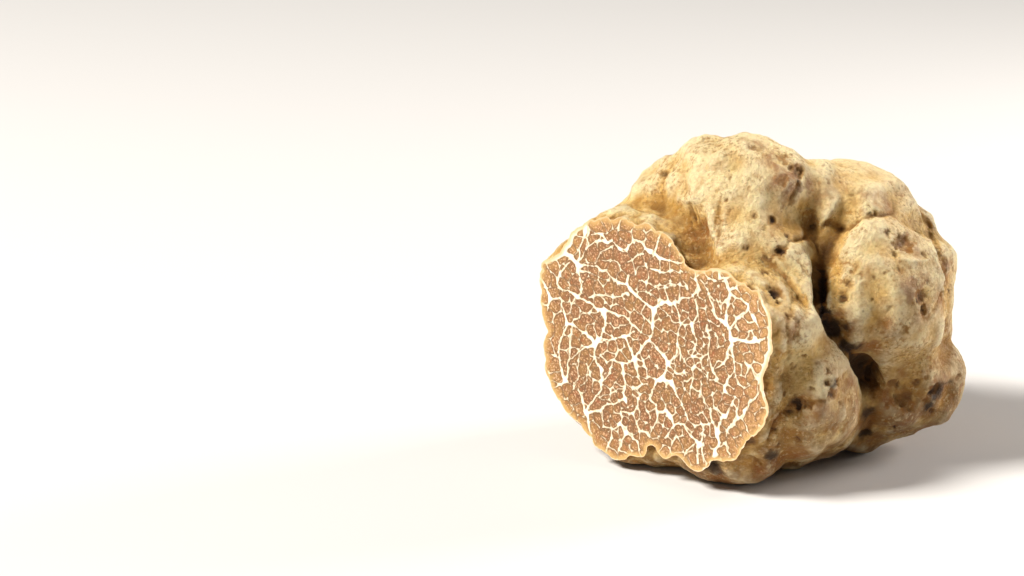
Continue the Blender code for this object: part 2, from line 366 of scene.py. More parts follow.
def folding_tree():
    tree, given = new_tree("press_folds", {
        "Lines": "Object", "Wobble": "Float", "Valley": "Float", "Full Depth": "Float",
        "Skin": "Material",
    })
    lines = add(tree, "GeometryNodeObjectInfo", given["Lines"])[-1]
    probe = ragged(tree, add(tree, "GeometryNodeInputPosition")[0], BEND_SIZE, given["Wobble"])
    away = add(tree, "GeometryNodeProximity", lines, None, probe, target_element="EDGES")[1]
    nearest = add(tree, "GeometryNodeSampleNearest", lines, probe, domain="POINT")[0]
    wide, deep = [sampled(tree, lines, named(tree, label), nearest) for label in ("wide", "deep")]
    share = calc(tree, "DIVIDE", away, wide)
    slit = calc(tree, "POWER", calc(tree, "SUBTRACT", 1.0, share, clamp=True), SLIT_SHARPNESS)
    valley = bowl(tree, calc(tree, "DIVIDE", share, VALLEY_WIDTH))
    pressed = calc(tree, "ADD", slit, times(tree, valley, given["Valley"]))
    height = times(tree, pressed, deep, -1.0)
    shade = calc(tree, "MULTIPLY", slit, calc(tree, "DIVIDE", deep, given["Full Depth"]),
                 clamp=True)
    geometry = kept_largest(tree, given["Geometry"], "fold", shade)
    end_tree(tree, pushed_out(tree, geometry, height), given["Skin"])
    return tree


press_folds = folding_tree()
FOLD_GROUPS = [(0, FRONT_FOLDS), (180, BACK_FOLDS), (95, SIDE_FOLDS), (-100, SIDE_FOLDS)]
# The wide ones go in first, and the slits then follow the new skin.
WIDE = 0.75
for name, narrowest, widest in (("wide_folds", WIDE, math.inf), ("slits", 0.0, WIDE)):
    run_tree(truffle, press_folds, Lines=fold_lines(name, FOLD_GROUPS, narrowest, widest),
             Wobble=1.2 * MM, Valley=0.45, **{"Full Depth": 1.0 * MM}, Skin=skin)


# Pits where soil grains and roots sat: right, up, radius in mm, and how dark (0 to 1).
FRONT_PITS = [
    (-16.0, 23.9, 1.5, 0.8), (0.2, 28.7, 1.5, 0.6), (5.6, 22.6, 1.6, 0.5), (-4.3, 23.0, 0.8, 0.5),
    (-5.8, 18.1, 0.7, 0.5), (-4.3, 16.7, 0.7, 0.5), (-0.4, 20.8, 0.7, 0.3), (0.7, 15.8, 0.8, 0.8),
    (4.0, 15.4, 1.1, 0.9), (2.2, 13.9, 0.8, 0.6), (6.5, 12.5, 0.9, 0.8), (-1.1, 10.5, 0.9, 0.9),
    (5.2, 9.8, 1.6, 0.9), (2.7, 8.6, 0.9, 0.8), (-3.1, 7.7, 0.8, 0.4), (2.3, 6.0, 1.1, 0.8),
    (-0.2, 3.5, 1.3, 0.9), (4.1, 2.3, 2.0, 1.0), (1.4, 0.1, 0.8, 0.4), (4.7, 0.5, 1.2, 0.8),
    (6.8, -1.7, 0.9, 0.7), (13.7, 22.2, 1.0, 0.5), (15.8, 19.0, 0.8, 0.4),
    (18.0, 19.9, 1.2, 0.4), (20.9, 16.1, 1.0, 0.8), (24.3, 13.1, 1.2, 0.7),
    (16.7, 9.6, 1.3, 0.3), (25.4, 9.1, 1.0, 0.7), (27.0, 11.5, 3.4, 0.5), (30.6, 9.1, 1.0, 0.7),
    (17.8, 6.0, 0.8, 0.7), (21.8, 5.1, 0.9, 0.7), (24.1, 5.7, 0.7, 0.7), (26.3, 6.4, 0.8, 0.6),
    (21.6, 1.2, 0.7, 0.7), (24.5, -0.5, 0.7, 0.6), (30.4, 1.5, 1.8, 0.7), (30.8, -1.0, 1.2, 0.8),
    (34.7, 7.8, 1.2, 0.6), (16.0, 1.5, 1.1, 0.9), (27.5, -4.4, 1.2, 0.5),
    (25.4, -14.0, 1.2, 0.6), (27.5, -16.1, 2.0, 0.5), (31.3, -12.9, 0.8, 0.7),
    (32.4, -15.4, 1.6, 0.9), (31.2, -17.0, 1.0, 0.7), (32.0, -19.0, 1.1, 0.9),
    (25.4, -22.2, 1.3, 0.9), (36.5, -12.9, 1.2, 0.5), (37.4, -14.3, 0.9, 0.6),
    (8.1, -3.0, 1.0, 0.5), (8.1, -5.5, 0.8, 0.5), (9.7, -9.5, 0.8, 0.6), (13.7, -12.0, 1.0, 0.6),
    (13.5, -14.0, 1.1, 0.8), (15.5, -13.8, 1.2, 0.9), (14.4, -16.1, 1.5, 0.8),
    (16.6, -12.2, 1.0, 0.6), (8.1, -17.9, 1.6, 1.0), (10.0, -17.9, 1.1, 0.7),
    (16.2, -17.6, 0.8, 0.6), (10.8, -15.0, 0.9, 0.6), (14.8, -21.9, 0.7, 0.8),
    (5.9, -15.8, 0.8, 0.7), (6.8, -19.2, 1.4, 0.8), (8.1, -24.2, 1.2, 0.7),
    (4.1, -22.4, 1.3, 0.8), (3.6, -9.3, 1.2, 0.5), (0.0, -25.1, 1.5, 0.8),
    (-4.0, -27.5, 1.4, 0.8), (-8.3, -28.7, 1.4, 0.8), (1.6, -20.3, 0.9, 0.6),
    (-24.8, 16.1, 0.8, 0.7), (-22.3, 15.0, 0.7, 0.9), (-17.5, 16.7, 0.6, 0.7),
    (5.4, 26.8, 2.0, 0.5), (8.3, 24.4, 2.0, 0.6),
]
# Wide brown marks with no dent, on the brow, in the bay, on the haunch, cheek and heel: real
# stains, and painted shade on the sides of lobes that turn from the light.
FRONT_STAINS_AND_SHADE = [
    (2.2, 27.4, 2.6, 0.5), (5.2, 26.4, 2.6, 0.7), (7.6, 25.4, 2.2, 0.7), (-22.0, 22.1, 1.8, 0.4),
    (12.4, 23.8, 2.4, 0.35), (17.6, 21.2, 2.4, 0.4), (18.6, 18.0, 2.6, 0.45),
    (27.6, 20.4, 2.6, 0.5), (28.4, 11.8, 3.4, 0.6), (30.6, 4.6, 3.0, 0.6), (30.6, -1.6, 4.2, 0.7),
    (25.2, -5.2, 4.2, 0.6), (21.2, -4.4, 3.6, 0.5), (26.6, -11.6, 4.2, 0.5),
    (32.2, -16.6, 3.4, 0.7), (27.8, -17.6, 2.8, 0.6), (14.6, -14.6, 3.2, 0.6),
    (9.4, -17.4, 3.4, 0.7), (4.6, -19.8, 3.4, 0.6), (4.6, 2.4, 3.6, 0.5), (4.4, 9.8, 3.2, 0.4),
    (10.4, 15.4, 2.8, 0.4), (8.6, -3.8, 3.4, 0.4), (-0.6, -24.6, 3.4, 0.5),
    (13.5, 21.0, 5.5, 0.45), (12.6, 17.5, 3.5, 0.5), (-8.2, 13.4, 3.6, 0.9),
    (21.0, -7.0, 6.0, 0.9), (12.4, -19.0, 7.0, 0.6), (33.0, -15.0, 5.0, 0.9),
    (28.0, -20.0, 5.0, 0.7), (24.0, -17.0, 4.0, 0.6), (7.0, -4.5, 3.5, 0.7),
    (-6.0, -31.0, 6.0, 0.9), (2.0, -29.0, 5.0, 0.8), (8.0, -27.0, 5.0, 0.7),
    (3.2, 26.6, 5.0, 0.8), (6.2, 24.0, 4.6, 0.95), (1.4, 28.8, 3.0, 0.6), (7.6, 21.6, 4.0, 0.9),
    (4.4, 22.4, 3.6, 0.9), (6.4, 19.4, 3.2, 0.8), (20.0, 19.5, 5.0, 0.6), (24.5, 17.5, 4.5, 0.6),
    (28.0, 11.2, 5.2, 0.85), (29.6, 3.0, 6.5, 0.8), (24.0, -3.4, 5.0, 0.7),
    (9.6, 12.0, 2.6, 0.7), (34.2, 0.5, 3.4, 0.6), (34.6, 6.6, 4.4, 0.7), (33.6, 1.6, 4.4, 0.8),
    (34.4, -4.0, 4.0, 0.8), (17.6, -13.6, 4.0, 0.7),
    (19.0, -17.6, 4.6, 0.7), (15.6, -1.6, 3.0, 0.8), (17.2, -4.4, 3.2, 0.8),
    (-10.4, 12.2, 3.0, 0.8), (-6.2, 11.6, 2.6, 0.7), (10.4, 21.6, 2.4, 0.7), (9.2, 25.0, 2.6, 0.7),
]
# Black painted shade where lobes close on one another, under the cut and in the heel.
FRONT_CLEFT_SHADE = [
    (12.4, 6.0, 1.2, 0.9), (12.4, 2.6, 1.1, 0.9), (12.9, -1.4, 1.8, 1.0), (14.6, -4.0, 2.6, 1.0),
    (17.0, -7.2, 2.4, 0.9), (19.4, -10.6, 1.8, 0.7), (20.6, -19.4, 2.4, 0.7),
    (20.2, -23.0, 2.2, 0.7), (15.8, 1.0, 1.3, 0.8), (33.2, -15.6, 2.8, 0.8),
    (31.6, -18.2, 2.2, 0.8), (35.4, -13.6, 1.6, 0.6), (27.4, -16.4, 1.8, 0.5),
    (14.8, -14.2, 1.6, 0.6), (7.6, -17.0, 1.8, 0.7), (-7.0, -29.0, 3.4, 0.7),
    (3.6, -27.0, 2.4, 0.7), (-10.2, 15.8, 1.0, 0.6), (10.9, 14.2, 0.9, 0.7), (8.6, 22.4, 1.2, 0.6),
    (16.8, -3.8, 2.0, 0.6), (18.8, -7.6, 2.2, 0.7), (20.6, -11.8, 2.0, 0.7),
    (10.2, 17.2, 1.0, 0.5),
]


def spot_mesh(name, spots):
    tree = skin_as_it_is()
    points, reach, force = [], [], []
    for across, rise, radius, dark in spots:
        for place in laid_on_skin(tree, [(across, rise)], 0):
            points.append(place)
            reach.append(radius * MM)
            force.append(dark)
    return guide(name, points, [], reach=reach, force=force)


# A patch of noise goes from none to full between these values. Strewn spots come in crowds this
# far across, most of them small, none fainter than this.
PATCH_EDGE = (0.42, 0.58)
CROWD_SIZE = 8 * MM
SMALL_BIAS = 2.5
FAINTEST = 0.3
FORCE_SEED = 7


def spotting_tree():
    tree, given = new_tree("press_spots", {
        "Spots": "Object", "Per Square Metre": "Float", "Smallest": "Float", "Largest": "Float",
        "Seed": "Int", "Depth Share": "Float", "Wobble": "Float", "Wobble Size": "Float",
        "Name": "String", "Skin": "Material",
    })
    placed = add(tree, "GeometryNodeObjectInfo", given["Spots"])[-1]
    placed = add(tree, "GeometryNodeMeshToPoints", placed)[0]
    strewn = add(tree, "GeometryNodeDistributePointsOnFaces", given["Geometry"], None,
                 given["Per Square Metre"], given["Seed"])[0]
    chance = add(tree, "FunctionNodeRandomValue", 0.0, 1.0, None, given["Seed"])[0]
    size = add(tree, "ShaderNodeMapRange", calc(tree, "POWER", chance, SMALL_BIAS), 0.0, 1.0,
               given["Smallest"], given["Largest"])[0]
    here = add(tree, "GeometryNodeInputPosition")[0]
    crowd = add(tree, "ShaderNodeTexNoise", here, 1 / CROWD_SIZE, 1.0)[0]
    crowd = add(tree, "ShaderNodeMapRange", crowd, *PATCH_EDGE)[0]
    force = times(tree, crowd, add(
        tree, "FunctionNodeRandomValue", FAINTEST, 1.0, None, FORCE_SEED)[0])
    for label, value in (("reach", size), ("force", force)):
        strewn = stored(tree, strewn, label, value)
    join = tree.nodes.new("GeometryNodeJoinGeometry")
    tree.links.new(placed, join.inputs[0])
    tree.links.new(strewn, join.inputs[0])
    spots = join.outputs[0]
    # the outline is ragged twice over, coarsely and then finely
    probe = ragged(tree, ragged(tree, here, given["Wobble Size"], given["Wobble"]),
                   times(tree, given["Wobble Size"], 0.4), times(tree, given["Wobble"], 0.5))
    nearest = add(tree, "GeometryNodeSampleNearest", spots, probe, domain="POINT")[0]
    reach, force = [
        sampled(tree, spots, named(tree, label), nearest) for label in ("reach", "force")
    ]
    middle = sampled(tree, spots, here, nearest, "FLOAT_VECTOR")
    share = calc(tree, "DIVIDE", vec(tree, "DISTANCE", probe, middle), reach)
    dent = times(tree, bowl(tree, share), force)
    geometry = kept_largest(tree, given["Geometry"], given["Name"], dent)
    height = times(tree, dent, reach, given["Depth Share"], -1.0)
    end_tree(tree, pushed_out(tree, geometry, height), given["Skin"])
    return tree


press_spots = spotting_tree()
no_spots = spot_mesh("no_spots", [])


def spot(spots, per_cm2, smallest, largest, seed, depth_share, wobble, wobble_size, name):
    """Press in placed spots and strewn ones. Radii and wobble are in mm, depth is a share of the
    radius, and the name is that of the value which the colours read."""
    run_tree(truffle, press_spots, Spots=spots, Smallest=smallest * MM, Largest=largest * MM,
             Seed=seed, Wobble=wobble * MM, Name=name, Skin=skin, **{
                 "Per Square Metre": per_cm2 * 1e4, "Depth Share": depth_share,
                 "Wobble Size": wobble_size * MM})


spot(spot_mesh("pits", FRONT_PITS), 0.0, 0.5, 1.0, 1, 0.5, 2.4, 1.3, "pit")
# brown marks: real stains, and painted shade on lobe sides turned from the light
spot(spot_mesh("stains", FRONT_STAINS_AND_SHADE), 0.06, 2.0, 4.5, 5, 0.0, 5.0, 3.0, "stain")
# black painted shade in the clefts, under the cut and in the heel
spot(spot_mesh("soil", FRONT_CLEFT_SHADE), 0.0, 0.5, 1.0, 6, 0.0, 2.4, 1.6, "soil")
spot(no_spots, 3.0, 0.35, 1.1, 3, 0.4, 1.8, 1.0, "pit")
spot(no_spots, 18.0, 0.2, 0.55, 4, 0.35, 0.8, 0.6, "pore")


# Small lumps and a rough crumb all over, drapes down the sides, and round knobs along the cut,
# which give its rim its scallops. Crumb and drapes are stronger in some places than in others.
LUMP_ROUGHNESS = 0.6
LUMP_FOOT = 0.55
ROUGH_PATCH = 9 * MM
SLACK_PATCH = 16 * MM
DRAPE_STRETCH = (1.0, 1.0, 0.4)
CREASE_WIDTH = 0.2
KNOB_CREST = 0.3


def weathering_tree():
    tree, given = new_tree("weather_skin", {
        "Lump Size": "Float", "Lump Height": "Float", "Crumb Size": "Float",
        "Crumb Height": "Float", "Drape Size": "Float", "Drape Depth": "Float",
        "Knob Size": "Float", "Knob Height": "Float", "Knob Reach": "Float",
        "Cut Middle": "Vector", "Cut Axis": "Vector", "Skin": "Material",
    })
    here = add(tree, "GeometryNodeInputPosition")[0]

    def noise_of(size, detail, height):
        """A height that stands out where the noise is above the foot, and sinks in below it."""
        cloud = add(tree, "ShaderNodeTexNoise", here, calc(tree, "DIVIDE", 1.0, size), detail,
                    LUMP_ROUGHNESS)[0]
        return times(tree, calc(tree, "SUBTRACT", cloud, LUMP_FOOT), height)

    lumps = noise_of(given["Lump Size"], 2.0, given["Lump Height"])
    crumb = noise_of(given["Crumb Size"], 3.0, given["Crumb Height"])
    where = add(tree, "ShaderNodeTexNoise", here, 1 / ROUGH_PATCH, 2.0)[0]
    rough = add(tree, "ShaderNodeMapRange", where, 0.4, 0.6, 0.25, 1.0)[0]
    height = calc(tree, "ADD", lumps, times(tree, crumb, rough))
    # drapes: stretched noise, with a crease where it crosses its middle
    tall = vec(tree, "MULTIPLY", here, DRAPE_STRETCH)
    wave = add(tree, "ShaderNodeTexNoise", tall, calc(tree, "DIVIDE", 1.0, given["Drape Size"]),
               2.0, 0.5)[0]
    off_line = calc(tree, "ABSOLUTE", calc(tree, "SUBTRACT", wave, 0.5))
    crease = times(tree, bowl(tree, calc(tree, "DIVIDE", off_line, CREASE_WIDTH)),
                   given["Drape Depth"])
    slack = add(tree, "ShaderNodeTexNoise", here, 1 / SLACK_PATCH, 1.0)[0]
    slack = add(tree, "ShaderNodeMapRange", slack, *PATCH_EDGE)[0]
    height = calc(tree, "SUBTRACT", height, times(tree, crease, slack))
    # knobs: round cells that stand out, with pinched seams between them
    behind = vec(tree, "DOT_PRODUCT", vec(tree, "SUBTRACT", given["Cut Middle"], here),
                 given["Cut Axis"])
    belt = add(tree, "ShaderNodeMapRange", behind, given["Knob Reach"], 0.0)[0]
    bent = ragged(tree, here, given["Knob Size"], given["Knob Size"])
    off = add(tree, "ShaderNodeTexVoronoi", bent, calc(tree, "DIVIDE", 1.0, given["Knob Size"]))[0]
    knob = calc(tree, "SUBTRACT", KNOB_CREST, times(tree, off, off))
    height = calc(tree, "ADD", height, times(tree, knob, belt, given["Knob Height"]))
    end_tree(tree, pushed_out(tree, given["Geometry"], height), given["Skin"])
    return tree


run_tree(truffle, weathering_tree(), Skin=skin, **{
    "Lump Size": 2.2 * MM, "Lump Height": 0.32 * MM, "Crumb Size": 0.9 * MM,
    "Crumb Height": 0.4 * MM, "Drape Size": 7.0 * MM, "Drape Depth": 0.45 * MM,
    "Knob Size": 3.4 * MM, "Knob Height": 1.3 * MM, "Knob Reach": 8.0 * MM,
    "Cut Middle": CUT_MIDDLE, "Cut Axis": CUT_AXIS})


# Where the skin lies in a hollow or over a swelling: how far it sits from its smoothed self,
# and how deep it lies under a sheet stretched tight over all the lobes.

def hollow_tree():
    tree, given = new_tree("find_hollows", {"Skin": "Material"})
    here = add(tree, "GeometryNodeInputPosition")[0]
    normal = add(tree, "GeometryNodeInputNormal")[0]
    geometry = given["Geometry"]
    # name, how many smoothing passes, and how far in mm it must sink to count as 1
    for label, passes, full in (("hollow", 120, 0.8), ("dimple", 10, 0.08)):
        smoothed = add(tree, "GeometryNodeBlurAttribute", here, passes, 1.0,
                       data_type="FLOAT_VECTOR")[0]
        sunk = vec(tree, "DOT_PRODUCT", vec(tree, "SUBTRACT", smoothed, here), normal)
        geometry = stored(tree, geometry, label, calc(tree, "DIVIDE", sunk, full * MM))
    sheet = add(tree, "GeometryNodeConvexHull", given["Geometry"])[0]
    under = add(tree, "GeometryNodeProximity", sheet, None, here, target_element="FACES")[1]
    geometry = stored(tree, geometry, "under", calc(tree, "DIVIDE", under, MM))
    end_tree(tree, geometry, given["Skin"])
    return tree


run_tree(truffle, hollow_tree(), Skin=skin)

SKIN_TRIANGLES = 145000
thin_out = truffle.modifiers.new("fewer_triangles", "DECIMATE")
thin_out.ratio = SKIN_TRIANGLES / (2 * len(truffle.data.polygons))
frozen(truffle)


# The cut face. The knife goes through the finished skin, and the flesh behind it is brown with
# a net of white veins. Veins are laid in the plane: right and up of the cut's middle, in mm.

ACROSS = Vector((-CUT_AXIS.y, CUT_AXIS.x, 0)).normalized()
if ACROSS.x < 0:
    ACROSS = -ACROSS
UPWARD = CUT_AXIS.cross(ACROSS)
if UPWARD.z < 0:
    UPWARD = -UPWARD

# Bright knots where several veins meet: right, up, radius.
KNOTS = np.array([
    (-18.2, 10.9, 1.05), (-20.7, -0.3, 0.8), (-15.4, -16.3, 1.05), (-11.7, 3.4, 0.75),
    (-14.1, -3.0, 0.7), (-17.8, 5.1, 0.45), (-5.6, 8.9, 0.5), (0.2, 5.6, 0.85),
    (-1.2, 16.3, 0.9), (1.0, 15.2, 0.5), (3.3, -3.3, 0.65), (2.0, -6.9, 0.85), (4.2, -7.2, 0.5),
    (16.0, 6.3, 0.85), (17.9, 3.6, 0.8), (22.3, 4.4, 0.75), (11.0, -16.6, 1.0),
    (15.0, -14.1, 0.75), (15.0, -17.9, 0.8), (-22.2, 12.6, 0.9), (-6.6, -0.5, 0.5),
    (-4.4, -4.0, 0.5), (-6.8, -5.5, 0.4), (3.2, 7.5, 0.5), (-11.8, -7.3, 0.5),
    (-21.0, -11.3, 0.5), (16.5, -6.2, 0.6), (16.6, -9.9, 0.5), (4.1, -12.6, 0.6),
    (-6.0, -17.9, 0.5), (-6.2, -11.9, 0.5), (20.8, 10.2, 0.4), (9.4, 15.0, 0.4),
    (-24.6, 3.6, 0.7), (22.4, 8.2, 0.4), (20.8, -8.4, 0.5), (7.5, -7.4, 0.45),
    (-16.6, 17.8, 0.5), (-11.6, 16.6, 0.4), (-8.2, 15.6, 0.4), (8.6, 4.2, 0.35),
    (14.6, 12.6, 0.4),
])
